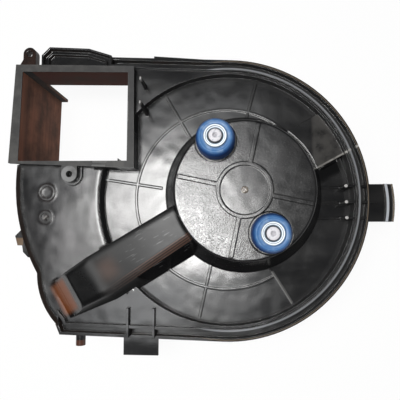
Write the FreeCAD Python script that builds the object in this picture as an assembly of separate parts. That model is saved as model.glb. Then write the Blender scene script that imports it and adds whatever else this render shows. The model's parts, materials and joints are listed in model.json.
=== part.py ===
import FreeCAD, Part
import math
import os
from FreeCAD import Vector

# Car cabin blower: a moulded scroll housing in two halves, with a brush motor
# that hangs in a cup on two rubber mounts and drives a squirrel-cage wheel.
# Millimetres. +Z points up from the inlet to the motor. The origin lies on the
# motor axis, where the flare of the inlet ends and its straight collar begins.

# Housing plan, measured from the motor axis
chamber_x = -15.5
chamber_y = -3.5
rim_radius = 125.0
rim_top_lead = 3.0
rim_foot_lead = 1.5
duct_left_x = -207.0
duct_waist = Vector(-202.5, -30.0, 0)
duct_knee = Vector(-185.5, -71.0, 0)
duct_heel = Vector(-180.5, -95.0, 0)
corner_side = Vector(-167.0, -115.5, 0)
corner_foot_x = -163.0

# Levels
underside_z = -5.0
joint_z = 65.0
disc_rise = 2.5
shoulder_rise = 12.0
inner_lip_rise = 15.5
outer_lip_rise = 9.0
groove_rise = 2.0
skirt_drop = 4.0
frame_rise = 20.0

# Walls and rim
wall = 2.5
lip = 2.5
groove = 7.0
half_gap = 0.3
shoulder_ledge = 2.0
deck_round = 4.0
ring_rib_radius = 81.0
rib_width = 2.0
rib_height = 1.6
rib_angles = (171.0, 120.0, 75.0, -58.0, -102.5)
rib_inner_radius = 58.0
ledge_thick = 2.2
ledge_start_x = -80.5
ledge_end_x = -24.0

# Sunk sector of the disc beside the cup, which ramps back up
step_angle = 20.5
ramp_end_angle = -58.0
step_depth = 7.0
ramp_sections = 6
strap_rib_ys = (5.7, -8.1, -21.7)
strap_tip_inset = 7.5
strap_tip_radius = 1.4
strap_rise = 14.0

# Hood over the supply socket, at the head of the sunk sector
hood_angle = 28.5
hood_front = -12.1
hood_back = 30.5
hood_rise = 3.5

# Outlet shaft and its frame
frame_back_left = Vector(-205.0, 117.9, 0)
frame_back_right = Vector(-96.4, 113.7, 0)
frame_front_right = Vector(-95.7, 21.9, 0)
frame_front_left = Vector(-209.4, 27.5, 0)
mouth_back_left = Vector(-198.7, 111.2, 0)
mouth_back_right = Vector(-101.7, 108.3, 0)
mouth_front_right = Vector(-102.0, 28.6, 0)
mouth_front_left = Vector(-200.7, 29.2, 0)
frame_thick = 4.0
shaft_wall = 3.0
window_top_z = 50.0
gusset_leg = 10.0
corner_post = 7.0
web_corner = Vector(-208.5, 122.0, 0)
web_head = Vector(-203.0, 131.5, 0)
rail_left_x = -184.5
rail_right_x = -119.0
rail_back_y = 136.5
rail_shelf_rise = 8.0
rail_rise = 13.0
rail_wall = 1.6
post_spots = (Vector(-87.4, 75.8, 0), Vector(-87.2, 96.5, 0))
post_rise = 36.0
post_foot = 5.5
post_tip = 2.4

# Motor cup and its cooling duct
cup_top_radius = 57.5
cup_foot_radius = 69.5
cup_rise = 42.0
cup_wall = 3.0
cup_edge_round = 2.0
cup_ring_radius = 20.0
cup_ring_width = 3.0
cup_rib_angle = 78.0
cup_rib_width = 3.4
cup_relief = 1.5
gate_radius = 2.4
duct_angle = 210.7
duct_rise = 37.0
duct_start = 54.0
duct_middle = 142.0
duct_reach = 162.0
duct_end = 196.0
duct_back_half = 19.7
duct_back_end = 15.5
duct_back_draft = 2.5
duct_front_start = 11.0
duct_front_middle = 16.4
duct_front_end = 13.0
duct_front_draft = 13.0
duct_middle_draft = 9.0
duct_end_draft = 3.0
duct_feed_radius = 8.0
duct_wall = 2.5
duct_round = 5.0

# Rubber mounts
upper_mount_circle = 46.5
lower_mount_circle = 40.2
mount_angle = 120.0
pocket_radius = 17.3
pocket_depth = 3.5
bush_radius = 15.7
bush_top_radius = 12.7
bush_height = 21.0
bush_neck_radius = 9.0
bush_foot_radius = 11.0
bush_foot_height = 4.6
sleeve_radius = 4.6
washer_radius = 9.2
washer_thick = 1.2
washer_rim = 1.6
screw_radius = 2.5
screw_head_radius = 5.7
screw_head_height = 2.6
screw_socket_radius = 2.2
fit_gap = 0.1

# Inlet
inlet_radius = 56.0
inlet_flare = 3.0
inlet_collar_top = 5.0
inlet_wall = 2.0

# Fan wheel
wheel_radius = 74.0
blade_inner_radius = 61.0
blade_bottom_z = 7.0
blade_top_z = 54.0
blade_thick = 1.4
blade_count = 36
blade_angle = 34.0
wheel_plate = 2.0
wheel_ring_width = 2.6
wheel_ring_height = 6.0
wheel_well_radius = 40.0
wheel_shoulder_radius = 52.0
wheel_floor_z = 22.0
hub_radius = 9.0
hub_bottom_z = 11.0

# Motor
motor_radius = 36.0
motor_wall = 1.8
motor_bottom_z = 31.0
motor_top_z = 92.0
boss_radius = 9.5
can_boss_height = 4.0
end_boss_height = 6.0
end_cap_thick = 3.0
bracket_thick = 2.0
ear_radius = 8.5
nut_radius = 4.6
nut_height = 4.0
magnet_thick = 5.0
magnet_arc = 140.0
magnet_bottom_z = 38.0
magnet_top_z = 70.0
shaft_radius = 4.0
shaft_bottom_z = 7.5
shaft_top_z = 97.0
bearing_radius = 7.2
bearing_length = 6.0
running_gap = 0.04
core_radius = 27.8
core_bottom_z = 41.0
core_top_z = 67.0
slot_count = 12
slot_width = 4.4
slot_floor_radius = 15.0
slot_mouth = 2.2
tooth_tip = 1.8
end_turn_inner = 12.0
end_turn_outer = 25.5
end_turn_height = 6.0
commutator_radius = 11.0
commutator_bottom_z = 74.0
commutator_top_z = 86.5
brush_width = 6.0
brush_height = 8.0
brush_length = 12.0
brush_bottom_z = 76.0
brush_gap = 0.3
holder_wall = 0.8
brush_plate_thick = 2.0
brush_plate_radius = 32.0
spring_thick = 0.6
clip_radius = 7.5
clip_thick = 1.2

# Connector and fixings
socket_width = 15.0
socket_height = 7.4
socket_length = 14.0
socket_wall = 1.2
socket_floor = 2.0
socket_stand = 12.2
socket_proud = 1.0
blade_terminal_width = 4.0
blade_terminal_thick = 0.8
blade_terminal_pitch = 6.0
blade_terminal_rise = 5.5
tab_width = 33.0
tab_arc = 90.0
tab_reach = 22.0
tab_thick = 2.5
side_tab_y = -8.5
foot_tab_x = -90.8
foot_tab_width = 31.0
foot_tab_reach = 14.0
foot_strap_xs = (-100.5, -77.9)
foot_strap_end_y = -99.8
hook_thick = 2.5
hook_depth = 16.0
lug_hole_radius = 2.9
lug_radius = 7.0
lug_height = 8.0
lug_collar = 2.6
top_lug_radius = 6.0
front_lug = Vector(-153.4, 17.2, 0)
top_lug = Vector(-198.5, 133.0, 0)
large_boss = Vector(-176.2, 1.6, 0)
small_boss = Vector(-177.1, -20.9, 0)
large_boss_radius = 7.4
small_boss_radius = 5.4
boss_wall = 1.7
boss_height = 1.3
side_clip_y = -31.3
peg_x = -145.2
peg_radius = 4.2
peg_reach = 6.0

# Values that follow from the sizes above
center = Vector(chamber_x, chamber_y, 0)
disc_top_z = joint_z + disc_rise
shoulder_z = joint_z + shoulder_rise
frame_top_z = joint_z + frame_rise
cup_top_z = joint_z + cup_rise
duct_top_z = joint_z + duct_rise
skirt_z = joint_z - skirt_drop
sunk_top_z = disc_top_z - step_depth
sunk_bottom_z = sunk_top_z - wall
hood_top_z = disc_top_z + hood_rise
rim_width = lip + groove + lip
chamber_radius = rim_radius - rim_width - shoulder_ledge
pocket_floor_z = cup_top_z - pocket_depth
bush_top_z = pocket_floor_z + bush_height
bracket_top_z = motor_top_z + bracket_thick
washer_top_z = bush_top_z + washer_thick
wheel_top_z = blade_top_z + wheel_plate
overlap = 0.5


def polar(radius, degrees, z=0.0, about=Vector(0, 0, 0)):
    angle = math.radians(degrees)
    return about + Vector(radius * math.cos(angle), radius * math.sin(angle), z)


def cylinder(radius, z0, z1, about=Vector(0, 0, 0)):
    return Part.makeCylinder(radius, z1 - z0, Vector(about.x, about.y, z0))


def ring(outer, inner, z0, z1, about=Vector(0, 0, 0)):
    return cylinder(outer, z0, z1, about).cut(cylinder(inner, z0 - 1, z1 + 1, about))


def block(x0, x1, y0, y1, z0, z1):
    return Part.makeBox(x1 - x0, y1 - y0, z1 - z0, Vector(x0, y0, z0))


def polygon(points):
    return Part.Face(Part.makePolygon(points + [points[0]]))


def revolved(points, about=Vector(0, 0, 0)):
    face = polygon([Vector(r, 0, z) for r, z in points])
    solid = face.revolve(Vector(0, 0, 0), Vector(0, 0, 1), 360)
    return solid.translated(about)


def turned(shape, degrees, about=Vector(0, 0, 0)):
    copy = shape.copy()
    copy.rotate(about, Vector(0, 0, 1), degrees)
    return copy


def radial_bar(r0, r1, width, z0, z1, degrees, about=Vector(0, 0, 0)):
    bar = block(r0, r1, -width / 2, width / 2, z0, z1)
    return turned(bar, degrees).translated(Vector(about.x, about.y, 0))


def rim_top_y(x):
    """Height in plan of the rim's straight top edge, left of the round."""
    top = polar(rim_radius, 90 - rim_top_lead, 0, center)
    return top.y + (top.x - x) * math.tan(math.radians(rim_top_lead))


def outline_wire():
    """Plan of the housing: a round chamber with a duct on its left."""
    top = polar(rim_radius, 90 - rim_top_lead, 0, center)
    right = center + Vector(rim_radius, 0, 0)
    bottom = polar(rim_radius, 270 - rim_foot_lead, 0, center)
    foot_rise = (bottom.x - corner_foot_x) * math.tan(math.radians(rim_foot_lead))
    foot = Vector(corner_foot_x, bottom.y + foot_rise, 0)
    left_low = Vector(duct_left_x, frame_front_left.y, 0)
    left_high = Vector(duct_left_x, rim_top_y(duct_left_x), 0)
    edges = [
        Part.Arc(top, right, bottom).toShape(),
        Part.makeLine(bottom, foot),
        Part.makeLine(foot, corner_side),
        Part.Arc(corner_side, duct_heel, duct_knee).toShape(),
        Part.Arc(duct_knee, duct_waist, left_low).toShape(),
        Part.makeLine(left_low, left_high),
        Part.makeLine(left_high, top),
    ]
    return Part.Wire(edges)


def plan(inset, z0, z1):
    """The housing's plan, drawn in by an inset, as a solid between two levels."""
    wire = outline_wire()
    if inset > 0:
        wire = wire.makeOffset2D(-inset)
    face = Part.Face(wire)
    return face.extrude(Vector(0, 0, z1 - z0)).translated(Vector(0, 0, z0))


def plan_band(inset0, inset1, z0, z1):
    return plan(inset0, z0, z1).cut(plan(inset1, z0 - 1, z1 + 1))


def prism(corners, z0, z1):
    face = polygon([Vector(spot.x, spot.y, z0) for spot in corners])
    return face.extrude(Vector(0, 0, z1 - z0))


def shaft_corners(outset):
    """Corners of the shaft: its left and back walls line up with the mouth,
    its right and front walls with the frame. An outset of the wall's
    thickness gives the outside."""
    inset = outset - shaft_wall
    return [
        mouth_back_left + Vector(-outset, outset, 0),
        Vector(frame_back_right.x + inset, mouth_back_right.y + outset, 0),
        frame_front_right + Vector(inset, -inset, 0),
        Vector(mouth_front_left.x - outset, frame_front_left.y - inset, 0),
    ]


def shaft_zone(outset, z0, z1, behind_x=0.0):
    """Everything of the plan that the outlet shaft takes up; behind the shaft
    it reaches right to behind_x."""
    back_left, back_right, front_right, front_left = shaft_corners(outset)
    behind_x = behind_x or back_right.x
    corners = [
        Vector(duct_left_x - shaft_wall, front_left.y, 0),
        front_right,
        back_right,
        Vector(behind_x, back_right.y, 0),
        Vector(behind_x, rim_top_y(behind_x) + wall, 0),
        Vector(duct_left_x - shaft_wall, rim_top_y(duct_left_x) + wall, 0),
    ]
    if abs(behind_x - back_right.x) < 0.01:
        del corners[3]
    return prism(corners, z0, z1)


def cover_zone(z0, z1):
    """The shaft's zone as the cover sees it: the rim runs on behind it."""
    return shaft_zone(shaft_wall - half_gap, z0, z1, rail_right_x)


def rimless_zone(z0, z1):
    """The duct's left side, where the rim stops and the shoulder rounds off."""
    return block(duct_left_x - 1, corner_foot_x, corner_side.y, frame_front_left.y + 1, z0, z1)


def cup_span(degrees):
    """Distance from the chamber's centre to the middle of the cup's wall."""
    middle = cup_foot_radius - cup_wall / 2
    angle = math.radians(degrees)
    along = chamber_x * math.cos(angle) + chamber_y * math.sin(angle)
    away = chamber_x ** 2 + chamber_y ** 2
    return -along + math.sqrt(along ** 2 - away + middle ** 2)


def ramp_plate():
    """Sunk floor that winds up from the step to the disc."""
    sections = []
    for index in range(ramp_sections):
        degrees = step_angle + (ramp_end_angle - step_angle) * index / (ramp_sections - 1)
        level = ramp_level(degrees) - wall
        inner = cup_span(degrees)
        outer = chamber_radius + wall / 2
        corners = [
            polar(inner, degrees, level, center),
            polar(outer, degrees, level, center),
            polar(outer, degrees, level + wall, center),
            polar(inner, degrees, level + wall, center),
        ]
        sections.append(Part.makePolygon(corners + [corners[0]]))
    return Part.makeLoft(sections, True, False)


def ramp_sector(z0, z1, radius):
    """Wedge of the disc, from the step round to the end of the ramp."""
    sector = Part.makeCylinder(radius, z1 - z0, Vector(0, 0, z0), Vector(0, 0, 1),
                               step_angle - ramp_end_angle)
    return turned(sector, ramp_end_angle).translated(center)


def ramp_level(degrees):
    """Top of the sunk floor at an angle about the chamber's centre."""
    share = (step_angle - degrees) / (step_angle - ramp_end_angle)
    return sunk_top_z + share * step_depth


def hood_slab(y0, y1, z0, z1):
    """Slab across the disc in the hood's own direction, from the cup to the
    chamber's wall."""
    slab = turned(block(cup_foot_radius / 2, rim_radius, y0, y1, z0, z1), hood_angle)
    slab = slab.common(cylinder(chamber_radius + overlap, z0 - 1, z1 + 1, center))
    return slab.cut(cylinder(cup_foot_radius - overlap, z0 - 1, z1 + 1))


def disc_with_ramp():
    disc = cylinder(chamber_radius + overlap, joint_z, disc_top_z, center)
    sector = ramp_sector(joint_z - 1, disc_top_z + 1, chamber_radius + 1)
    core = cylinder(cup_foot_radius, joint_z - 2, disc_top_z + 2)
    under_hood = hood_slab(hood_front, hood_back, joint_z - 2, disc_top_z + 2)
    disc = disc.cut(sector.cut(core).cut(under_hood))
    hood = hood_slab(hood_front, hood_back, joint_z, hood_top_z)
    step = hood_slab(hood_front, hood_front + wall, sunk_bottom_z, hood_top_z)
    disc = disc.cut(cover_zone(joint_z - 1, disc_top_z + 1))
    return disc.fuse([ramp_plate(), hood, step])


def disc_ribs():
    """Ring rib and radial ribs of the disc."""
    top = disc_top_z + rib_height
    half = rib_width / 2
    parts = [ring(ring_rib_radius + half, ring_rib_radius - half, joint_z + 1, top, center)]
    for degrees in rib_angles:
        parts.append(radial_bar(rib_inner_radius, chamber_radius + half, rib_width,
                                joint_z + 1, top, degrees, center))
    ribs = parts[0].fuse(parts[1:])
    ribs = ribs.cut(ramp_sector(joint_z, top + 1, chamber_radius - half))
    ribs = ribs.cut(cover_zone(joint_z, top + 1))
    return ribs.cut(cylinder(cup_foot_radius - overlap, joint_z, top + 1))


def strap_ribs():
    """Three ribs that cross the sunk floor low, then stand up and bridge the
    rim's groove as far as the side tab."""
    reach = chamber_x + rim_radius - lip / 2
    chamber_right = chamber_x + chamber_radius
    tip_x = chamber_right - strap_tip_inset
    half = rib_width / 2
    top = joint_z + strap_rise
    ribs = []
    for y in strap_rib_ys:
        level = ramp_level(math.degrees(math.atan2(y - chamber_y, tip_x - chamber_x)))
        low = block(cup_foot_radius / 2, chamber_right, y - half, y + half,
                    level - wall / 2, level + rib_height)
        tall = block(tip_x, chamber_right + half, y - half, y + half, level - wall / 2, top)
        bridge = block(chamber_right, reach, y - half, y + half, joint_z + 1,
                       joint_z + outer_lip_rise)
        knob = cylinder(strap_tip_radius, level - wall / 2, top, Vector(tip_x, y, 0))
        keep = cylinder(chamber_radius + half, sunk_bottom_z, top, center)
        core = cylinder(cup_foot_radius - 1, 0, cup_top_z)
        ribs += [low.fuse([tall, knob]).common(keep).cut(core), bridge]
    middle = strap_rib_ys[1]
    ribs.append(block(reach, reach + 3 * lip, middle - half / 2, middle + half / 2,
                      joint_z + outer_lip_rise / 2, joint_z + outer_lip_rise))
    return ribs


def rim():
    """Outer lip, groove and inner lip round the rim of the cover."""
    outer = plan_band(0, lip, joint_z, joint_z + outer_lip_rise)
    floor = plan_band(0, rim_width, joint_z, joint_z + groove_rise)
    inner = plan_band(lip + groove, rim_width, skirt_z, joint_z + inner_lip_rise)
    ledge_low = rim_top_y(ledge_end_x) - lip
    ledge = prism([
        Vector(ledge_start_x, ledge_low, 0),
        Vector(ledge_start_x, rim_top_y(ledge_start_x) + ledge_thick, 0),
        Vector(ledge_end_x, rim_top_y(ledge_end_x), 0),
        Vector(ledge_end_x, ledge_low, 0),
    ], joint_z, joint_z + outer_lip_rise - 1).cut(plan(lip, joint_z - 1, frame_top_z))
    band = outer.fuse([floor, inner, ledge])
    band = band.cut(rimless_zone(skirt_z - 1, frame_top_z))
    return band.cut(cover_zone(skirt_z - 1, frame_top_z))


def shoulder():
    """Raised deck in the corners and over the duct, with a rounded left edge."""
    flat = plan(lip + groove + overlap, shoulder_z - wall, shoulder_z)
    left_inset = 3 * wall
    edge_zone = rimless_zone(joint_z - 1, frame_top_z)
    left_deck = plan(left_inset - overlap, shoulder_z - wall, shoulder_z).common(edge_zone)
    slope = plan_band(0, wall, joint_z, shoulder_z - 2 * wall).common(edge_zone)
    bevels = []
    for index in range(3):
        inset = index * wall * 0.9
        top = shoulder_z - (2 - index) * wall * 0.8
        bevels.append(plan_band(inset, left_inset, top - 2 * wall, top).common(edge_zone))
    flat = flat.cut(rimless_zone(joint_z, frame_top_z))
    deck = flat.fuse([left_deck, slope] + bevels)
    deck = deck.cut(cylinder(chamber_radius, joint_z, frame_top_z, center))
    step_wall = ring(chamber_radius + wall, chamber_radius, joint_z, shoulder_z, center)
    step_wall = step_wall.common(plan(lip + groove, joint_z, shoulder_z))
    skirt = ring(chamber_radius + lip, chamber_radius, skirt_z + half_gap, joint_z + 1, center)
    deck = deck.fuse([step_wall, skirt]).cut(cover_zone(underside_z, frame_top_z))
    round_center = chamber_radius + deck_round
    round_z = shoulder_z - deck_round
    corner = ring(round_center, chamber_radius - 1, round_z, shoulder_z + 1, center)
    corner = corner.cut(Part.makeTorus(round_center, deck_round, Vector(chamber_x, chamber_y,
                                                                     round_z)))
    left_half = block(duct_left_x, frame_front_right.x, -rim_radius, frame_front_left.y,
                      joint_z, frame_top_z)
    return deck.cut(corner.common(left_half))


def outlet_shaft():
    """Square shaft with a framed mouth, open below and towards the back."""
    frame = prism([frame_back_left, frame_back_right, frame_front_right, frame_front_left],
                  frame_top_z - frame_thick, frame_top_z)
    mouth = prism([mouth_back_left, mouth_back_right, mouth_front_right, mouth_front_left],
                  frame_top_z - 2 * frame_thick, frame_top_z + 1)
    tube = prism(shaft_corners(shaft_wall), underside_z, frame_top_z - overlap)
    hollow = prism(shaft_corners(0), underside_z - 1, frame_top_z - frame_thick)
    inner_left = mouth_front_left.x
    inner_right = frame_front_right.x - shaft_wall - overlap
    window = block(mouth_back_left.x + corner_post, inner_right, mouth_back_right.y - wall,
                   mouth_back_left.y + 2 * wall, underside_z - 1, window_top_z)
    entry = block(inner_left, inner_right, frame_front_right.y - wall,
                  frame_front_left.y + 2 * wall, underside_z - 1, joint_z)
    tab_x = mouth_front_right.x - gusset_leg / 2
    front_y = mouth_front_right.y
    gusset = prism([
        Vector(tab_x, front_y - shaft_wall, 0),
        Vector(tab_x - gusset_leg / 3, front_y - shaft_wall, 0),
        Vector(tab_x - gusset_leg / 3, front_y + gusset_leg / 4, 0),
    ], joint_z, frame_top_z - 1)
    return tube.fuse(frame).cut([hollow, mouth, window, entry]).fuse(gusset)


def outlet_rail():
    """Tray behind the frame: a shelf with two upright walls round its edge."""
    corner_y = rim_top_y(rail_right_x)
    outline = [
        Vector(rail_left_x, mouth_back_right.y, 0),
        Vector(rail_left_x, rail_back_y - 3 * lip, 0),
        Vector(rail_left_x + 3 * lip, rail_back_y, 0),
        Vector(rail_right_x - 3 * groove, rail_back_y - lip, 0),
        Vector(rail_right_x, corner_y, 0),
        Vector(rail_right_x, mouth_back_right.y, 0),
    ]
    shelf = prism(outline, joint_z, joint_z + rail_shelf_rise)
    wire = Part.makePolygon(outline + [outline[0]])
    walls = []
    for inset in (0.0, 3 * rail_wall):
        outer = wire.makeOffset2D(-inset) if inset else wire
        inner = wire.makeOffset2D(-inset - rail_wall)
        rise = rail_rise - inset / 4
        band = Part.Face(outer).extrude(Vector(0, 0, rise)).cut(
            Part.Face(inner).extrude(Vector(0, 0, rise + 1)))
        walls.append(band.translated(Vector(0, 0, joint_z)))
    web = prism([
        Vector(web_corner.x, mouth_back_right.y, 0),
        web_corner,
        web_head,
        Vector(top_lug.x, web_head.y, 0),
        Vector(top_lug.x, mouth_back_right.y, 0),
    ], joint_z, joint_z + lug_height - 1)
    rail = shelf.fuse(walls + [web])
    return rail.cut(prism(shaft_corners(shaft_wall / 2), underside_z, frame_top_z))


def deck_posts():
    """Two slim tapered posts on the deck between the frame and the rim."""
    posts = []
    for spot in post_spots:
        sections = []
        for size, z in ((post_foot, disc_top_z - 1), (post_tip, joint_z + post_rise)):
            half = size / 2
            corners = [Vector(spot.x - half / 2, spot.y - half, z),
                       Vector(spot.x + half / 2, spot.y - half, z),
                       Vector(spot.x + half / 2, spot.y + half, z),
                       Vector(spot.x - half / 2, spot.y + half, z)]
            sections.append(Part.makePolygon(corners + [corners[0]]))
        posts.append(Part.makeLoft(sections, True, True))
    return posts


def lug(spot, radius, z0, z1, root_y):
    """Rounded ear with a web back to the wall that carries it."""
    ear = cylinder(radius, z0, z1, spot)
    web = block(spot.x - radius, spot.x + radius, min(spot.y, root_y),
                max(spot.y, root_y), z0, z1)
    return ear.fuse(web)


def cup_outer():
    """Outside of the motor cup, with a small round at its top edge."""
    body = Part.makeCone(cup_foot_radius, cup_top_radius, cup_top_z - disc_top_z,
                         Vector(0, 0, disc_top_z))
    top_edges = [edge for edge in body.Edges
                 if abs(edge.BoundBox.ZMin - cup_top_z) < 0.01 and edge.BoundBox.ZLength < 0.01]
    body = body.makeFillet(cup_edge_round, top_edges)
    return body.fuse(cylinder(cup_foot_radius, sunk_bottom_z, disc_top_z + overlap))


def cup_inner():
    ceiling = cup_top_z - cup_wall
    body = Part.makeCone(cup_foot_radius - cup_wall, cup_top_radius - cup_wall,
                         ceiling - disc_top_z, Vector(0, 0, disc_top_z))
    return body.fuse(cylinder(cup_foot_radius - cup_wall, sunk_bottom_z - 1, disc_top_z + overlap))


def duct_section(along, back, front, front_draft, top_z, z0):
    """Half-tube section across the cooling duct, rounded at its top corners."""
    height = duct_top_z - disc_top_z
    back_slope = duct_back_draft / height
    front_slope = front_draft / height
    depth = top_z - z0
    low = top_z - duct_round
    lean = duct_round * (1 - math.sqrt(0.5))

    def spot(y, z):
        return Vector(along, y, z)

    back_foot = spot(-back - back_slope * depth, z0)
    back_side = spot(-back - back_slope * duct_round, low)
    front_foot = spot(front + front_slope * depth, z0)
    front_side = spot(front + front_slope * duct_round, low)
    edges = [
        Part.makeLine(back_foot, front_foot),
        Part.makeLine(front_foot, front_side),
        Part.Arc(front_side, spot(front - lean, top_z - lean),
                 spot(front - duct_round, top_z)).toShape(),
        Part.makeLine(spot(front - duct_round, top_z), spot(duct_round - back, top_z)),
        Part.Arc(spot(duct_round - back, top_z), spot(lean - back, top_z - lean),
                 back_side).toShape(),
        Part.makeLine(back_side, back_foot),
    ]
    return Part.Wire(edges)


def duct_form(inset, start, z0):
    """Cooling duct as one solid, cut down by the slope at its far end."""
    top_z = duct_top_z - inset
    end = duct_end - inset
    sections = [
        duct_section(start, duct_back_half - inset, duct_front_start - inset,
                     duct_front_draft, top_z, z0),
        duct_section(duct_middle, duct_back_half - inset, duct_front_middle - inset,
                     duct_middle_draft, top_z, z0),
        duct_section(end, duct_back_end - inset, duct_front_end - inset,
                     duct_end_draft, top_z, z0),
    ]
    tube = Part.makeLoft(sections, True, True)
    above = top_z + 1
    reach = duct_reach - inset
    slope = (duct_end - duct_reach) / (duct_top_z - disc_top_z)
    side = 2 * duct_back_half
    cutter = polygon([
        Vector(reach - slope, -side, above),
        Vector(duct_end + 1, -side, above),
        Vector(duct_end + 1, -side, z0 - 1),
        Vector(reach + slope * (top_z - z0 + 1), -side, z0 - 1),
    ]).extrude(Vector(0, 2 * side, 0))
    return turned(tube.cut(cutter), duct_angle)


def mount_spots():
    return [polar(upper_mount_circle, mount_angle),
            polar(lower_mount_circle, mount_angle + 180)]


def cup_relief_ribs():
    """Low relief on the cup's top: a ring, four ribs and the gate mark."""
    top = cup_top_z + cup_relief
    low = cup_top_z - overlap
    outer = cup_ring_radius + cup_ring_width
    parts = [ring(outer, cup_ring_radius, low, top)]
    for index in range(4):
        parts.append(radial_bar(outer - overlap, cup_top_radius - cup_edge_round,
                                cup_rib_width, low, top, cup_rib_angle + 90 * index))
    parts.append(cylinder(gate_radius, low, top))
    return parts


def deck_bosses():
    """Two low rings on the deck; the small one has a nub in it."""
    low = shoulder_z - overlap
    top = shoulder_z + boss_height
    return [
        ring(large_boss_radius, large_boss_radius - boss_wall, low, top, large_boss),
        ring(small_boss_radius, small_boss_radius - boss_wall, low, top, small_boss),
        cylinder(boss_wall, low, top, small_boss),
    ]


def socket_pocket(grow, z_grow, front):
    """Room under the hood that the supply socket pushes into."""
    half = socket_width / 2 + half_gap + grow
    x = cup_foot_radius + socket_stand
    back = hood_front - socket_proud + socket_length + half_gap + grow
    pocket = block(x - half, x + half, hood_front - front, back, sunk_top_z - z_grow,
                   sunk_top_z + socket_height + 2 * half_gap + z_grow)
    return turned(pocket, hood_angle)


def scroll_cover():
    """Upper half: rim, deck, outlet shaft, motor cup and cooling duct in one moulding."""
    parts = [rim(), shoulder(), outlet_shaft(), outlet_rail()] + strap_ribs()
    parts += [disc_ribs(), cup_outer(), duct_form(0, duct_start, joint_z + overlap)]
    parts.append(lug(front_lug, lug_radius, shoulder_z - wall, frame_top_z,
                     frame_front_right.y + shaft_wall))
    parts.append(lug(front_lug, lug_radius + lug_collar, shoulder_z - wall,
                     shoulder_z + lug_collar, frame_front_right.y + shaft_wall))
    parts.append(lug(top_lug, top_lug_radius, joint_z, joint_z + lug_height,
                     mouth_back_left.y + shaft_wall / 2))
    parts += deck_bosses() + deck_posts() + cover_tabs()
    body = disc_with_ramp().fuse(parts)
    body = body.fuse(socket_pocket(wall, wall, 0)).cut(socket_pocket(0, 0, wall))
    pockets = []
    for spot in mount_spots():
        pockets.append(cylinder(pocket_radius, pocket_floor_z, cup_top_z + 5, spot))
        pockets.append(cylinder(bush_neck_radius + fit_gap, joint_z, cup_top_z, spot))
        ledge = cylinder(pocket_radius + cup_wall, pocket_floor_z - cup_wall,
                         pocket_floor_z, spot)
        body = body.fuse(ledge.common(cup_outer()))
    hollow = cup_inner()
    for spot in mount_spots():
        hollow = hollow.cut(cylinder(pocket_radius + cup_wall, pocket_floor_z - cup_wall,
                                     cup_top_z, spot))
        pockets.append(cylinder(bush_foot_radius + half_gap, joint_z,
                                pocket_floor_z - cup_wall, spot))
    body = body.cut([hollow] + pockets)
    relief = cup_relief_ribs()
    relief_solid = relief[0].fuse(relief[1:]).cut(pockets)
    body = body.fuse(relief_solid)
    cooling = duct_form(duct_wall, duct_start - 4, shoulder_z)
    inside_cup = cylinder(cup_foot_radius - cup_wall - 2, underside_z, frame_top_z + 40)
    body = body.cut(cooling.cut(inside_cup))
    feed = polar(duct_reach - 2 * duct_feed_radius, duct_angle)
    body = body.cut(cylinder(duct_feed_radius, underside_z, shoulder_z + 1, feed))
    holes = [cylinder(lug_hole_radius, shoulder_z, frame_top_z + 1, front_lug),
             cylinder(lug_hole_radius, joint_z - 1, frame_top_z, top_lug)]
    return body.cut(holes).removeSplitter()


def cover_tabs():
    """Ears at the side and the foot that the base's hooks catch."""
    right = chamber_x + rim_radius
    bottom = chamber_y - rim_radius
    half = tab_width / 2
    low = joint_z + groove_rise
    end_x = right + tab_reach
    arc_spot = Vector(end_x - tab_arc, side_tab_y, 0)
    side = block(right - lip, end_x, side_tab_y - half, side_tab_y + half, low, low + tab_thick)
    side = side.common(cylinder(tab_arc, low, low + tab_thick, arc_spot))
    strip = block(right + lip, end_x, side_tab_y - half, side_tab_y + half,
                  joint_z - hook_depth / 2, low + 3 * tab_thick)
    bead = ring(tab_arc - 2 * tab_thick, tab_arc - 3 * tab_thick, low, low + 2 * tab_thick,
                arc_spot).common(strip)
    end = ring(tab_arc, tab_arc - tab_thick / 2, joint_z - hook_depth / 2, low + 1.5 * tab_thick,
               arc_spot).common(strip)
    foot = block(foot_tab_x - foot_tab_width / 2, foot_tab_x + foot_tab_width / 2,
                 bottom - foot_tab_reach, bottom + 2 * lip, low, low + tab_thick)
    straps = []
    for x in foot_strap_xs:
        straps.append(block(x - rib_width / 2, x + rib_width / 2, bottom + 1.5 * lip,
                            foot_strap_end_y, joint_z + 1, joint_z + inner_lip_rise + 1))
    peg = Part.makeCylinder(peg_radius, peg_reach + 2 * lip,
                            Vector(peg_x, bottom + 2 * lip, joint_z + peg_radius),
                            Vector(0, -1, 0))
    clip_x = duct_waist.x + lip
    clip = prism([
        Vector(clip_x + lip, side_clip_y, 0),
        Vector(clip_x - lip, side_clip_y, 0),
        Vector(clip_x - 3.5 * lip, side_clip_y - 2.5 * lip, 0),
        Vector(clip_x - 2.5 * lip, side_clip_y - 6 * lip, 0),
        Vector(clip_x + 2 * lip, side_clip_y - 6 * lip, 0),
    ], joint_z, joint_z + outer_lip_rise / 2)
    return [side, bead, end, foot, peg, clip] + straps


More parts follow.
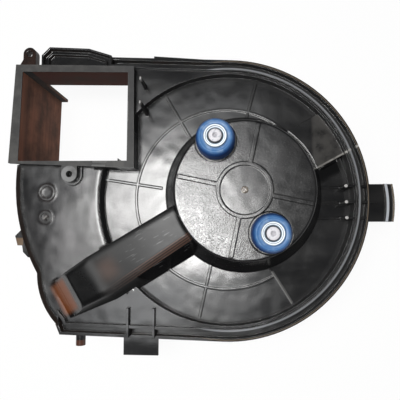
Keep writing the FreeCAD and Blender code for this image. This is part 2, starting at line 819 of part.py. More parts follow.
def scroll_base():
    """Lower half: floor with the flared inlet, side wall and mating flange."""
    top = skirt_z - half_gap
    flange_top = joint_z - half_gap
    floor = plan(lip + groove, underside_z, underside_z + wall)
    side = plan_band(lip + groove, rim_width, underside_z, top)
    flange = plan_band(0, rim_width - lip - half_gap, flange_top - wall, flange_top)
    neck = plan_band(lip + groove - wall, rim_width - lip - half_gap + wall,
                     top - 2 * wall, flange_top - wall)
    neck = neck.cut(plan(lip + groove, top, flange_top))
    left_zone = rimless_zone(underside_z - 1, joint_z)
    left_wall = plan_band(0, wall, underside_z, flange_top).common(left_zone)
    left_floor = plan(0, underside_z, underside_z + wall).common(left_zone)
    corner_end = plan(0, underside_z, flange_top - wall / 2).common(
        block(duct_left_x, corner_foot_x + rim_width / 2, corner_side.y - overlap,
              corner_side.y + wall, underside_z, joint_z))
    body = floor.fuse([side, flange, neck]).cut(left_zone)
    body = body.fuse([left_wall, left_floor, corner_end])
    tongue = ring(chamber_radius + wall, chamber_radius, underside_z, top, center)
    side_x = frame_front_right.x + half_gap
    keep = block(side_x, chamber_x, chamber_y, chamber_y + rim_radius,
                 underside_z - 1, joint_z)
    duct_side = block(side_x, side_x + wall, chamber_y + rim_radius / 2,
                      rim_top_y(side_x) - lip - groove, underside_z, top)
    body = body.cut(shaft_zone(shaft_wall + half_gap, underside_z - 1, joint_z + 1))
    body = body.fuse([tongue.common(keep), duct_side])
    collar = revolved([
        (inlet_radius, underside_z + inlet_flare),
        (inlet_radius, inlet_collar_top),
        (inlet_radius + inlet_wall, inlet_collar_top),
        (inlet_radius + inlet_wall + inlet_flare, underside_z + wall),
        (inlet_radius + inlet_wall + inlet_flare, underside_z),
        (inlet_radius + inlet_flare, underside_z),
    ])
    hole = cylinder(inlet_radius + inlet_flare, underside_z - 1, inlet_collar_top)
    flare = Part.makeTorus(inlet_radius + inlet_flare, inlet_flare,
                           Vector(0, 0, underside_z + inlet_flare))
    lip_ring = ring(inlet_radius + inlet_flare, inlet_radius, underside_z,
                    underside_z + inlet_flare).common(flare)
    body = body.cut(hole).fuse([collar.fuse(lip_ring)] + base_ribs() + base_hooks())
    return body.cut(hook_slots()).removeSplitter()


def base_ribs():
    """Stiffening ribs inside the floor, between the inlet and the wall."""
    ribs = []
    for index in range(8):
        ribs.append(radial_bar(inlet_radius + inlet_wall, blade_inner_radius + inlet_flare,
                               rib_width, underside_z + 1, inlet_collar_top - 1,
                               22.5 + 45 * index))
    return ribs


def base_hooks():
    """Snap hooks that stand up from the flange outside the cover's ears."""
    right = chamber_x + rim_radius
    bottom = chamber_y - rim_radius
    flange_low = joint_z - half_gap - wall
    half = tab_width / 2 - 2 * lip
    side = block(right - lip, right + tab_reach - 2 * tab_thick - half_gap,
                 side_tab_y - half, side_tab_y + half, flange_low, flange_low + hook_thick)
    foot_half = foot_tab_width / 2 - 2 * lip
    foot = block(foot_tab_x - foot_half, foot_tab_x + foot_half,
                 bottom - foot_tab_reach + half_gap, bottom + 2 * lip, flange_low,
                 flange_low + hook_thick)
    clip_x = duct_waist.x + lip
    clip_y = side_clip_y - 3.5 * lip
    clip = prism([
        Vector(clip_x, clip_y, 0),
        Vector(clip_x - 2 * lip, clip_y - lip, 0),
        Vector(clip_x - 1.3 * lip, clip_y - 5 * lip, 0),
        Vector(clip_x + 0.7 * lip, clip_y - 7 * lip, 0),
        Vector(clip_x + 4 * lip, clip_y - 6 * lip, 0),
    ], joint_z - hook_depth, joint_z - half_gap)
    return [side, foot, clip]


def hook_slots():
    right = chamber_x + rim_radius
    return block(right + tab_reach / 4, right + tab_reach / 2, side_tab_y - lip,
                 side_tab_y + lip, joint_z - 3 * wall, joint_z)


def blade():
    """One forward-curved blade: a bent strip from the inner to the outer circle."""
    depth = wheel_radius - blade_inner_radius
    swing = math.radians(blade_angle) * depth / wheel_radius
    half = blade_thick / 2
    start = Vector(blade_inner_radius, 0, blade_bottom_z)
    end = Vector(wheel_radius * math.cos(swing), wheel_radius * math.sin(swing), blade_bottom_z)
    chord = end - start
    side = Vector(-chord.y, chord.x, 0).normalize()
    middle = (start + end) * 0.5 - side * (depth / 4)
    strip = polygon([start + side * half, middle + side * half, end + side * half,
                     end - side * half, middle - side * half, start - side * half])
    return strip.extrude(Vector(0, 0, wheel_top_z - blade_bottom_z - 1))


def fan_wheel():
    """Squirrel-cage wheel: hub, well round the motor, blades and two rings."""
    plate = revolved([
        (shaft_radius, hub_bottom_z),
        (hub_radius, hub_bottom_z),
        (hub_radius, wheel_floor_z),
        (wheel_well_radius, wheel_floor_z),
        (wheel_shoulder_radius, blade_top_z),
        (wheel_radius + 1, blade_top_z),
        (wheel_radius + 1, wheel_top_z),
        (wheel_shoulder_radius - wheel_plate / 2, wheel_top_z),
        (wheel_well_radius - wheel_plate / 2, wheel_floor_z + wheel_plate),
        (shaft_radius, wheel_floor_z + wheel_plate),
    ])
    band = ring(wheel_radius + 1, wheel_radius + 1 - wheel_ring_width, blade_bottom_z,
                blade_bottom_z + wheel_ring_height)
    blades = [turned(blade(), 360.0 * index / blade_count) for index in range(blade_count)]
    return plate.fuse([band] + blades)


def mount_bush(spot):
    """Rubber bush: a rounded body over the pocket, a neck and a foot below."""
    bore = sleeve_radius
    profile = [
        (bore, bracket_top_z),
        (bush_foot_radius, bracket_top_z),
        (bush_foot_radius, bracket_top_z + bush_foot_height - half_gap),
        (bush_neck_radius, bracket_top_z + bush_foot_height - half_gap),
        (bush_neck_radius, pocket_floor_z),
        (bush_radius - 1, pocket_floor_z),
        (bush_radius, pocket_floor_z + 1.5),
        (bush_radius, bush_top_z - 7.5),
        (bush_top_radius + 1.2, bush_top_z - 1.2),
        (bush_top_radius, bush_top_z),
        (bore, bush_top_z),
    ]
    return revolved(profile, spot)


def mount_sleeve(spot):
    return ring(sleeve_radius, screw_radius + fit_gap, bracket_top_z, bush_top_z, spot)


def mount_washer(spot):
    """Dished washer with a raised rim."""
    inner = washer_radius - washer_rim
    return revolved([
        (screw_radius + fit_gap, bush_top_z),
        (washer_radius, bush_top_z),
        (washer_radius, washer_top_z + washer_thick),
        (inner, washer_top_z + washer_thick),
        (inner - washer_thick / 2, washer_top_z),
        (screw_radius + fit_gap, washer_top_z),
    ], spot)


def mount_screw(spot):
    """Round-headed screw down to the weld nut, with a hexagon socket."""
    head_top = washer_top_z + screw_head_height
    bottom = motor_top_z - nut_height
    shank = cylinder(screw_radius, bottom, washer_top_z, spot)
    head = revolved([
        (0, washer_top_z),
        (screw_head_radius, washer_top_z),
        (screw_head_radius, head_top - 1),
        (screw_head_radius - 1, head_top),
        (0, head_top),
    ], spot)
    corners = [polar(screw_socket_radius, 60 * index, head_top - 2, spot) for index in range(6)]
    socket = polygon(corners).extrude(Vector(0, 0, 3))
    return head.fuse(shank).cut(socket)


def weld_nut(spot):
    corners = [polar(nut_radius, 60 * index + 30, motor_top_z - nut_height, spot)
               for index in range(6)]
    nut = polygon(corners).extrude(Vector(0, 0, nut_height))
    return nut.cut(cylinder(screw_radius + fit_gap, motor_top_z - 2 * nut_height,
                            motor_top_z + 1, spot))


def motor_bracket():
    """Pressed plate on the motor's end, with an ear under each mount."""
    plate = cylinder(motor_radius, motor_top_z, bracket_top_z)
    ears = []
    holes = [cylinder(boss_radius + 1, motor_top_z - 1, bracket_top_z + 1)]
    for spot in mount_spots():
        degrees = math.degrees(math.atan2(spot.y, spot.x))
        ears.append(cylinder(ear_radius, motor_top_z, bracket_top_z, spot))
        ears.append(radial_bar(motor_radius / 2, spot.Length, 2 * ear_radius,
                               motor_top_z, bracket_top_z, degrees))
        holes.append(cylinder(screw_radius + fit_gap, motor_top_z - 1, bracket_top_z + 1, spot))
    return plate.fuse(ears).cut(holes)


def motor_can():
    """Deep-drawn steel can with a bearing boss in its floor."""
    inner = motor_radius - motor_wall
    boss = boss_radius
    floor_top = motor_bottom_z + motor_wall
    low = motor_bottom_z - can_boss_height
    return revolved([
        (shaft_radius + 1, low),
        (boss, low),
        (boss, motor_bottom_z),
        (motor_radius, motor_bottom_z),
        (motor_radius, motor_top_z),
        (inner, motor_top_z),
        (inner, floor_top),
        (bearing_radius, floor_top),
        (bearing_radius, low + motor_wall - 1),
        (shaft_radius + 1, low + motor_wall - 1),
    ])


def end_cap():
    """Plate that closes the can and holds the upper bearing."""
    low = motor_top_z - end_cap_thick
    top = motor_top_z + end_boss_height
    return revolved([
        (bearing_radius, low),
        (motor_radius - motor_wall, low),
        (motor_radius - motor_wall, motor_top_z),
        (boss_radius, motor_top_z),
        (boss_radius, top),
        (shaft_radius + 1, top),
        (shaft_radius + 1, top - 1),
        (bearing_radius, top - 1),
    ])


def bearing(z0):
    return ring(bearing_radius, shaft_radius + running_gap, z0, z0 + bearing_length)


def magnet(degrees):
    outer = motor_radius - motor_wall
    shell = ring(outer, outer - magnet_thick, magnet_bottom_z, magnet_top_z)
    wedge = Part.makeCylinder(outer + 1, magnet_top_z - magnet_bottom_z,
                              Vector(0, 0, magnet_bottom_z), Vector(0, 0, 1), magnet_arc)
    return shell.common(turned(wedge, degrees - magnet_arc / 2))


def motor_shaft():
    body = cylinder(shaft_radius, shaft_bottom_z, shaft_top_z)
    groove_z = hub_bottom_z - clip_thick
    notch = ring(shaft_radius + 1, shaft_radius - 0.6, groove_z - fit_gap, hub_bottom_z)
    return body.cut(notch)


def armature_core():
    """Laminated stack with deep slots and tooth tips."""
    core = ring(core_radius, shaft_radius, core_bottom_z, core_top_z)
    cuts = []
    for index in range(slot_count):
        degrees = 360.0 * index / slot_count
        cuts.append(radial_bar(slot_floor_radius, core_radius - tooth_tip, slot_width,
                               core_bottom_z - 1, core_top_z + 1, degrees))
        cuts.append(radial_bar(core_radius - 2 * tooth_tip, core_radius + 1, slot_mouth,
                               core_bottom_z - 1, core_top_z + 1, degrees))
    return core.cut(cuts)


def armature_winding():
    """Copper in the slots, joined by the turns at both ends."""
    gap = fit_gap
    low = core_bottom_z - end_turn_height
    high = core_top_z + end_turn_height
    parts = [ring(end_turn_outer, end_turn_inner, low, core_bottom_z),
             ring(end_turn_outer, end_turn_inner, core_top_z, high)]
    for index in range(slot_count):
        degrees = 360.0 * index / slot_count
        parts.append(radial_bar(slot_floor_radius + gap, core_radius - tooth_tip - 2 * gap,
                                slot_width - 2 * gap, core_bottom_z, core_top_z, degrees))
    return parts[0].fuse(parts[1:])


def commutator():
    """Copper barrel with an undercut between each pair of bars."""
    barrel = ring(commutator_radius, shaft_radius, commutator_bottom_z, commutator_top_z)
    riser = ring(commutator_radius + 2, shaft_radius, core_top_z + end_turn_height,
                 commutator_bottom_z + 1)
    cuts = []
    for index in range(slot_count):
        cuts.append(radial_bar(commutator_radius - 0.8, commutator_radius + 3, 0.6,
                               commutator_bottom_z - 2, commutator_top_z + 1,
                               360.0 * (index + 0.5) / slot_count))
    return barrel.fuse(riser).cut(cuts)


def brush(degrees):
    inner = commutator_radius - 1
    bar = radial_bar(inner, commutator_radius + brush_length, brush_width, brush_bottom_z,
                     brush_bottom_z + brush_height, degrees)
    return bar.cut(cylinder(commutator_radius + brush_gap, 0, cup_top_z))


def brush_holder():
    """Insulating plate under the end cap, with a box for each brush."""
    top = motor_top_z - end_cap_thick
    plate = ring(brush_plate_radius, commutator_radius + 1, top - brush_plate_thick, top)
    slack = fit_gap
    parts = []
    for degrees in (0, 180):
        start = commutator_radius + 2
        stop = commutator_radius + brush_length
        wide = brush_width + 2 * (slack + holder_wall)
        box = radial_bar(start, stop, wide, brush_bottom_z - slack - holder_wall,
                         top - brush_plate_thick + overlap, degrees)
        tunnel = radial_bar(start - 1, stop + 1, brush_width + 2 * slack,
                            brush_bottom_z - slack, brush_bottom_z + brush_height + slack,
                            degrees)
        parts.append(box.cut(tunnel))
    return plate.fuse(parts)


def brush_spring(degrees):
    """Bent leaf that leans on the back of a brush and hooks to the plate."""
    back = commutator_radius + brush_length
    tall = motor_top_z - end_cap_thick - brush_plate_thick
    low = brush_bottom_z + 1
    knee = back + 4
    leaf = polygon([
        Vector(back, 0, low), Vector(back, 0, low + 5), Vector(knee, 0, tall),
        Vector(knee + spring_thick, 0, tall), Vector(back + spring_thick, 0, low + 4.8),
        Vector(back + spring_thick, 0, low),
    ]).extrude(Vector(0, brush_width * 0.7, 0)).translated(Vector(0, -brush_width * 0.35, 0))
    return turned(leaf, degrees)


def retaining_clip():
    """Push-on ring that holds the wheel's hub on the shaft."""
    inner = shaft_radius - 0.5
    top = hub_bottom_z
    clip = ring(clip_radius, inner, top - clip_thick, top)
    gap = radial_bar(0, clip_radius + 1, shaft_radius, top - clip_thick - 1, top + 1, 0)
    return clip.cut(gap)


def thrust_washer(z0):
    return ring(bearing_radius, shaft_radius + running_gap, z0, z0 + 1)


def socket_block(half_width, y0, y1, z0, z1):
    """Block in the supply socket's own place and direction."""
    x = cup_foot_radius + socket_stand
    return turned(block(x - half_width, x + half_width, y0, y1, z0, z1), hood_angle)


def connector_socket():
    """Shroud for the supply plug; its mouth looks out from under the hood."""
    low = sunk_top_z + half_gap
    high = low + socket_height
    mouth_y = hood_front - socket_proud
    back_y = mouth_y + socket_length
    half = socket_width / 2
    outer = socket_block(half, mouth_y, back_y, low, high)
    inner = socket_block(half - socket_wall, mouth_y - 1, back_y - socket_floor,
                         low + socket_wall, high - socket_wall)
    slots = [terminal_block(side, fit_gap / 2) for side in (-1, 1)]
    return outer.cut(inner).cut(slots)


def terminal_block(side, grow):
    """Flat blade that stands forward from the socket's back wall."""
    back_y = hood_front - socket_proud + socket_length
    front_y = back_y - socket_floor - blade_terminal_rise
    middle_z = sunk_top_z + half_gap + socket_height / 2
    x = cup_foot_radius + socket_stand + side * blade_terminal_pitch / 2
    half_x = blade_terminal_width / 2 + grow
    half_z = blade_terminal_thick / 2 + grow
    return turned(block(x - half_x, x + half_x, front_y, back_y, middle_z - half_z,
                        middle_z + half_z), hood_angle)


def save(shape, name):
    solids = shape.Solids
    shape = solids[0] if len(solids) == 1 else Part.makeCompound(solids)
    if not shape.isValid():
        print("not valid:", name)
    shape.exportStep("parts/" + name + ".step")
    print(name, len(solids), round(shape.Volume), len(shape.Faces))


def save_group(shapes, name):
    save(Part.makeCompound(shapes), name)


os.makedirs("parts", exist_ok=True)
spots = mount_spots()
lower_bearing_z = motor_bottom_z - can_boss_height + motor_wall - 1 + fit_gap
upper_bearing_z = motor_top_z + end_boss_height - 1 - bearing_length - fit_gap
save(scroll_cover(), "scroll_cover")
save(scroll_base(), "scroll_base")
save(fan_wheel(), "fan_wheel")
save(retaining_clip(), "wheel_clip")
save(motor_shaft(), "motor_shaft")
save(armature_core(), "armature_core")
save(armature_winding(), "armature_winding")
save(commutator(), "commutator")
save(thrust_washer(lower_bearing_z + bearing_length + half_gap), "thrust_washer")
save(motor_can(), "motor_can")
save(end_cap(), "motor_end_cap")
save(motor_bracket(), "motor_bracket")
save(bearing(lower_bearing_z), "lower_bearing")
save(bearing(upper_bearing_z), "upper_bearing")
save(magnet(90), "field_magnet_front")
save(magnet(270), "field_magnet_rear")
save(brush_holder(), "brush_holder")
save_group([brush(0), brush(180)], "carbon_brushes")
save_group([brush_spring(0), brush_spring(180)], "brush_springs")
for label, mount_spot in zip(("upper", "lower"), spots):
    save(mount_bush(mount_spot), "mount_bush_" + label)
save_group([mount_sleeve(mount_spot) for mount_spot in spots], "mount_sleeves")
save_group([mount_washer(mount_spot) for mount_spot in spots], "mount_washers")
save_group([mount_screw(mount_spot) for mount_spot in spots], "mount_screws")
save_group([weld_nut(mount_spot) for mount_spot in spots], "weld_nuts")
save(connector_socket(), "connector_socket")
save_group([terminal_block(side, 0) for side in (-1, 1)], "terminal_blades")
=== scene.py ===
import bmesh
import bpy
import json
import math
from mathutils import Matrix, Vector


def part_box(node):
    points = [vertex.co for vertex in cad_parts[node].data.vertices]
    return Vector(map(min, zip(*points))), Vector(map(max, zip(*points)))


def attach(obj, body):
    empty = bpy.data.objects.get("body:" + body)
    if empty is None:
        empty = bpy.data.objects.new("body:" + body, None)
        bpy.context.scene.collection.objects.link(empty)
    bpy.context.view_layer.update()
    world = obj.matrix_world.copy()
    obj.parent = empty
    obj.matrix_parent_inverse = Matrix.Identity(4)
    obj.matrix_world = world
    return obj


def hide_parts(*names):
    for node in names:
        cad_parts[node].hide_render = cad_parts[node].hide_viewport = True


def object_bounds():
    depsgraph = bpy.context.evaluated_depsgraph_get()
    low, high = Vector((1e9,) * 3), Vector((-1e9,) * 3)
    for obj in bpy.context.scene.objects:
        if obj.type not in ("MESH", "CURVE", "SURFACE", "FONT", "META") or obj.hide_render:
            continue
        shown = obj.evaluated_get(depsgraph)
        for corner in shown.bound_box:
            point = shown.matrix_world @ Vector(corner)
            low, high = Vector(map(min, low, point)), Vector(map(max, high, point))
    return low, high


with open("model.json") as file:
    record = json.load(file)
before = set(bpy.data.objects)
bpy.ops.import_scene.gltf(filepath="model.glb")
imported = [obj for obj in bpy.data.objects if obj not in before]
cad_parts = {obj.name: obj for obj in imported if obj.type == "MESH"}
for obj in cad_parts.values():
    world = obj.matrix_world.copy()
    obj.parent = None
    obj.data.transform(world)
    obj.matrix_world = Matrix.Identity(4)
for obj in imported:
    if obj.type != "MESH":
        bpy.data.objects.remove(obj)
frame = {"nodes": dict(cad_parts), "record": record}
cad_box = [list(corner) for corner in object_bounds()]
nodes = frame["nodes"]

# The camera: it hangs over the housing, a little off the vertical, as close as
# the photograph was taken. Its place is measured from the motor axis, in metres.
camera_place = (-0.01514, -0.03221, 0.4375)
camera_tilt = (4.175, 3.61, 0.0)
focal_pixels = 411.0
picture_pixels = 400.0
sensor_width = 36.0
near_clip = 0.01

camera_data = bpy.data.cameras.new("camera")
camera_data.sensor_width = sensor_width
camera_data.lens = sensor_width * focal_pixels / picture_pixels
camera_data.clip_start = near_clip
camera = bpy.data.objects.new("camera", camera_data)
camera.location = camera_place
camera.rotation_euler = [math.radians(angle) for angle in camera_tilt]
bpy.context.scene.collection.objects.link(camera)
bpy.context.scene.camera = camera

# The studio: a pale floor that looks white to the camera, in gloss and through
# openings, and keeps the housing's shadow; soft boxes high over the left half,
# each where a deck mirrors it to the camera; and a weak fill from the right.
floor_half = 20.0
floor_drop = 0.0004
floor_grey = (0.86, 0.86, 0.85)
floor_mottle = 0.97
floor_rough = 0.8
floor_glow = 0.92
world_tint = (0.95, 0.97, 1.0)
world_strength = 0.12


def new_material(name):
    """A node material with its shader and output."""
    material = bpy.data.materials.new(name)
    material.use_nodes = True
    tree = material.node_tree
    tree.nodes.clear()
    output = tree.nodes.new("ShaderNodeOutputMaterial")
    shader = tree.nodes.new("ShaderNodeBsdfPrincipled")
    plug(output.inputs["Surface"], shader.outputs["BSDF"])
    return material, tree, shader


def plug(socket, value):
    """Joins a socket to another, or writes a number or colour into it."""
    if isinstance(value, bpy.types.NodeSocket):
        socket.id_data.links.new(value, socket)
    elif isinstance(value, tuple) and len(value) == 3 and socket.type == "RGBA":
        socket.default_value = (*value, 1.0)
    else:
        socket.default_value = value


def add_node(kind, *values):
    """A new node in the node tree of the first socket among the values."""
    sockets = (value for value in values if isinstance(value, bpy.types.NodeSocket))
    return next(sockets).id_data.nodes.new(kind)


def set_skin(shader, base, rough, normal):
    """Gives a shader its colour, roughness and normal."""
    for name, value in (("Base Color", base), ("Roughness", rough), ("Normal", normal)):
        plug(shader.inputs[name], value)


def math_node(operation, first, second=0.0, third=0.0):
    """One step of arithmetic between numbers or sockets."""
    made = add_node("ShaderNodeMath", first, second)
    made.operation = operation
    for socket, value in zip(made.inputs, (first, second, third)):
        plug(socket, value)
    return made.outputs[0]


def times(*factors):
    """The product of numbers or sockets."""
    result = factors[0]
    for factor in factors[1:]:
        result = math_node("MULTIPLY", result, factor)
    return result


def colour_mix(factor, first, second):
    """The first colour where the factor is 0, the second where it is 1."""
    made = add_node("ShaderNodeMix", factor)
    made.data_type = "RGBA"
    plug(made.inputs[0], factor)
    plug(made.inputs[6], first)
    plug(made.inputs[7], second)
    return made.outputs[2]


def noise(vector, scale, detail=4.0, rough=0.55):
    """Fractal noise from 0 to 1."""
    made = add_node("ShaderNodeTexNoise", vector)
    made.inputs["Scale"].default_value = scale
    made.inputs["Detail"].default_value = detail
    made.inputs["Roughness"].default_value = rough
    plug(made.inputs["Vector"], vector)
    return made.outputs["Fac"]


def stretched(vector, scale, turn=0.0):
    """Object coordinates scaled unevenly, for grain that runs one way."""
    made = add_node("ShaderNodeMapping", vector)
    made.inputs["Scale"].default_value = scale
    made.inputs["Rotation"].default_value = (0.0, 0.0, math.radians(turn))
    plug(made.inputs["Vector"], vector)
    return made.outputs[0]


def fade(value, low, high, start=0.0, stop=1.0):
    """Runs smoothly from start at the value low to stop at the value high."""
    made = add_node("ShaderNodeMapRange", value)
    made.interpolation_type = "SMOOTHSTEP"
    plug(made.inputs["Value"], value)
    made.inputs["From Min"].default_value = low
    made.inputs["From Max"].default_value = high
    made.inputs["To Min"].default_value = start
    made.inputs["To Max"].default_value = stop
    return made.outputs["Result"]


def object_axes(tree):
    """Object coordinates, whole and as x, y and z."""
    place = tree.nodes.new("ShaderNodeTexCoord").outputs["Object"]
    parts = tree.nodes.new("ShaderNodeSeparateXYZ")
    plug(parts.inputs[0], place)
    return (place, *parts.outputs)


def floor_material():
    """Matt paper that glows white for every ray but the soft ones that shade it."""
    material, tree, shader = new_material("pale_floor")
    place = object_axes(tree)[0]
    mottle = colour_mix(noise(place, 6.0), floor_grey,
                        tuple(floor_mottle * part for part in floor_grey))
    bump = tree.nodes.new("ShaderNodeBump")
    bump.inputs["Strength"].default_value = 0.05
    plug(bump.inputs["Height"], noise(place, 40.0))
    set_skin(shader, mottle, floor_rough, bump.outputs[0])
    glow = tree.nodes.new("ShaderNodeEmission")
    glow.inputs["Color"].default_value = (1, 1, 1, 1)
    glow.inputs["Strength"].default_value = 1.0
    rays = tree.nodes.new("ShaderNodeLightPath")
    clear = math_node("MAXIMUM", rays.outputs["Is Camera Ray"],
                      rays.outputs["Is Transmission Ray"])
    seen = math_node("MAXIMUM", clear, rays.outputs["Is Glossy Ray"])
    blend = tree.nodes.new("ShaderNodeMixShader")
    plug(blend.inputs[0], times(seen, floor_glow))
    plug(blend.inputs[1], shader.outputs["BSDF"])
    plug(blend.inputs[2], glow.outputs[0])
    plug(tree.nodes["Material Output"].inputs["Surface"], blend.outputs[0])
    return material


floor_z = cad_box[0][2] - floor_drop
floor_mesh = bpy.data.meshes.new("floor")
floor_mesh.from_pydata([(-floor_half, -floor_half, floor_z), (floor_half, -floor_half, floor_z),
                        (floor_half, floor_half, floor_z), (-floor_half, floor_half, floor_z)],
                       [], [(0, 1, 2, 3)])
floor_mesh.materials.append(floor_material())
floor = bpy.data.objects.new("floor", floor_mesh)
bpy.context.scene.collection.objects.link(floor)


def soft_box(name, place, aim, size, watts, tint):
    """Rectangular soft box that looks from its place at a point."""
    lamp_data = bpy.data.lights.new(name, "AREA")
    lamp_data.shape = "RECTANGLE"
    lamp_data.size, lamp_data.size_y = size
    lamp_data.energy = watts
    lamp_data.color = tint
    lamp = bpy.data.objects.new(name, lamp_data)
    lamp.location = place
    lamp.rotation_euler = (Vector(aim) - Vector(place)).to_track_quat("-Z", "Y").to_euler()
    bpy.context.scene.collection.objects.link(lamp)


warm_white = (1.0, 0.995, 0.98)
cool_white = (0.97, 0.985, 1.0)
rose_white = (1.0, 0.97, 0.96)
overhead_boxes = (("key_box", (-0.30, 0.065, 1.0), (0.22, 0.27), 2.95, warm_white),
                  ("cup_box", (-0.10, -0.03, 1.0), (0.18, 0.24), 4.7, warm_white),
                  ("upper_box", (-0.155, 0.145, 1.0), (0.08, 0.11), 0.85, warm_white),
                  ("foot_box", (-0.28, -0.27, 1.0), (0.24, 0.12), 0.25, cool_white),
                  ("left_panel", (-0.25, 0.03, 1.05), (0.70, 0.72), 3.1, cool_white),
                  ("deck_box", (-0.47, -0.06, 1.0), (0.15, 0.26), 0.35, rose_white))
for box_name, place, size, watts, tint in overhead_boxes:
    soft_box(box_name, place, (place[0], place[1], 0.0), size, watts, tint)
soft_box("side_fill", (1.3, -0.6, 0.55), (0.0, 0.0, 0.05), (0.6, 0.5), 0.5, world_tint)

world = bpy.data.worlds.new("studio")
world.use_nodes = True
sky = world.node_tree.nodes["Background"]
sky.inputs["Color"].default_value = (*world_tint, 1)
sky.inputs["Strength"].default_value = world_strength
bpy.context.scene.world = world

# Cover of the scroll: injection-moulded in black polypropylene, satin, with flow
# marks and sink on its decks, a rough-sparked top on the motor cup, edges rubbed
# grey and also painted pale as highlights, and a brown painted reflection in the
# outlet shaft and at the duct's end.
housing_black = (0.003, 0.003, 0.0033)
housing_grey = (0.008, 0.008, 0.0085)
painted_shade_black = (0.0008, 0.0008, 0.0008)
wear_and_highlight_grey = (0.20, 0.19, 0.18)
dust_grey = (0.075, 0.071, 0.066)
tip_highlight_grey = (0.42, 0.41, 0.40)
skirt_brown = (0.042, 0.022, 0.014)
beige_edge_highlight = (0.16, 0.125, 0.09)
wear_width = 0.0011
wear_and_highlight_share = 0.16
skin_gloss = 0.62
skin_rough = 0.12
flow_rough = 0.10
broad_scale = 11.0
flow_stretch = (16.0, 46.0, 30.0)
flow_turn = 24.0
speck_scale = 900.0
sink_scale = 26.0
sink_depth = 0.0012
grain_scale = 420.0
grain_depth = 0.00025
cover_dust = 0.07
cover_grain = 0.35
disc_top = 0.0675
deck_top = 0.077
lip_top = 0.0805
frame_top = 0.085
cup_top = 0.107
chamber_centre = (-0.0155, -0.0035)
chamber_reach = 0.111


def distance_from(x, y, place):
    """Plan distance from a point."""
    dx = math_node("SUBTRACT", x, place[0])
    dy = math_node("SUBTRACT", y, place[1])
    squares = math_node("ADD", times(dx, dx), times(dy, dy))
    return math_node("SQRT", squares)


def turned_axes(x, y, heading):
    """Plan distance from the motor axis along a heading, and across it."""
    angle = math.radians(heading)
    along = math_node("ADD", times(x, math.cos(angle)), times(y, math.sin(angle)))
    across = math_node("SUBTRACT", times(y, math.cos(angle)), times(x, math.sin(angle)))
    return along, across


def between(value, low, high, soft):
    """1 between two values, with soft ends."""
    return times(fade(value, low - soft, low + soft), fade(value, high + soft, high - soft))


def rounded_edges(tree, radius, samples=6):
    """The shading normal of edges rounded off a little, and how near they are."""
    bevel = tree.nodes.new("ShaderNodeBevel")
    bevel.samples = samples
    plug(bevel.inputs["Radius"], radius)
    true_normal = tree.nodes.new("ShaderNodeNewGeometry").outputs["True Normal"]
    dot = tree.nodes.new("ShaderNodeVectorMath")
    dot.operation = "DOT_PRODUCT"
    plug(dot.inputs[0], bevel.outputs[0])
    plug(dot.inputs[1], true_normal)
    return bevel.outputs[0], fade(dot.outputs["Value"], 0.997, 0.90)


def bumped(normal, height, strength, distance):
    """A normal with a height field laid on it."""
    bump = add_node("ShaderNodeBump", normal)
    bump.inputs["Strength"].default_value = strength
    bump.inputs["Distance"].default_value = distance
    plug(bump.inputs["Height"], height)
    plug(bump.inputs["Normal"], normal)
    return bump.outputs[0]


def face_axes(tree):
    """How far a face looks along x, y and up, from the true normal."""
    parts = tree.nodes.new("ShaderNodeSeparateXYZ")
    plug(parts.inputs[0], tree.nodes.new("ShaderNodeNewGeometry").outputs["True Normal"])
    return parts.outputs


def moulded_plastic(name, dust_amount, edge_width=None):
    """Black moulded plastic: satin skin, flow marks, sink, dust and rubbed edges, the edges
    also painted pale as highlights. Gives back what a piece needs to add marks of its own."""
    material, tree, shader = new_material(name)
    place, x, y, z = object_axes(tree)
    facing = face_axes(tree)
    radius = edge_width(x, y, z) if edge_width else wear_width
    normal, edges = rounded_edges(tree, radius, 8)
    broad = noise(place, broad_scale, 3.0)
    flow = noise(stretched(place, flow_stretch, flow_turn), 1.0, 4.0)
    base = colour_mix(fade(broad, 0.35, 0.7), housing_black, housing_grey)
    specks = fade(noise(place, speck_scale, 3.0, 0.7), 0.60, 0.72)
    film = times(fade(facing[2], 0.6, 0.95), fade(flow, 0.35, 0.75), dust_amount)
    film = math_node("ADD", film, times(specks, dust_amount * 0.7, fade(facing[2], 0.3, 0.9)))
    base = colour_mix(film, base, dust_grey)
    # Edges rubbed grey and also painted pale as highlights.
    worn_and_lit_edges = times(edges, fade(noise(place, 60.0, 5.0), 0.42, 0.70))
    base = colour_mix(times(worn_and_lit_edges, wear_and_highlight_share), base, wear_and_highlight_grey)
    rough = math_node("MULTIPLY_ADD", fade(flow, 0.2, 0.8), flow_rough, skin_rough)
    rough = math_node("MULTIPLY_ADD", noise(place, 480.0, 3.0, 0.7), 0.06, rough)
    normal = bumped(normal, noise(place, sink_scale, 2.0), 0.85, sink_depth)
    shader.inputs["Specular IOR Level"].default_value = skin_gloss
    return {"material": material, "shader": shader, "place": place,
            "x": x, "y": y, "z": z, "facing": facing, "base": base, "rough": rough,
            "normal": normal, "edges": edges}


def axes_of(marks):
    """The x, y and z of a moulded piece's points."""
    return marks["x"], marks["y"], marks["z"]


def paint(marks, mask, colour, share=1.0):
    """Lays a colour on a moulded piece where a mask is 1."""
    marks["base"] = colour_mix(times(mask, share), marks["base"], colour)


def roughen(marks, mask, amount):
    """Makes a moulded piece duller where a mask is 1."""
    marks["rough"] = math_node("MULTIPLY_ADD", mask, amount, marks["rough"])


def skin_grain(marks):
    """Fine grain of a spark-eroded mould."""
    return noise(marks["place"], grain_scale, 5.0, 0.65)


def finish_plastic(marks, grain_height, grain_strength):
    """Joins the colour, roughness and grain of a moulded plastic to its shader."""
    normal = bumped(marks["normal"], grain_height, grain_strength, grain_depth)
    set_skin(marks["shader"], marks["base"], marks["rough"], normal)
    return marks["material"]


def dress(names, material):
    """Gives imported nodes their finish."""
    for name in names:
        mesh = nodes[name].data
        mesh.materials.clear()
        mesh.materials.append(material)


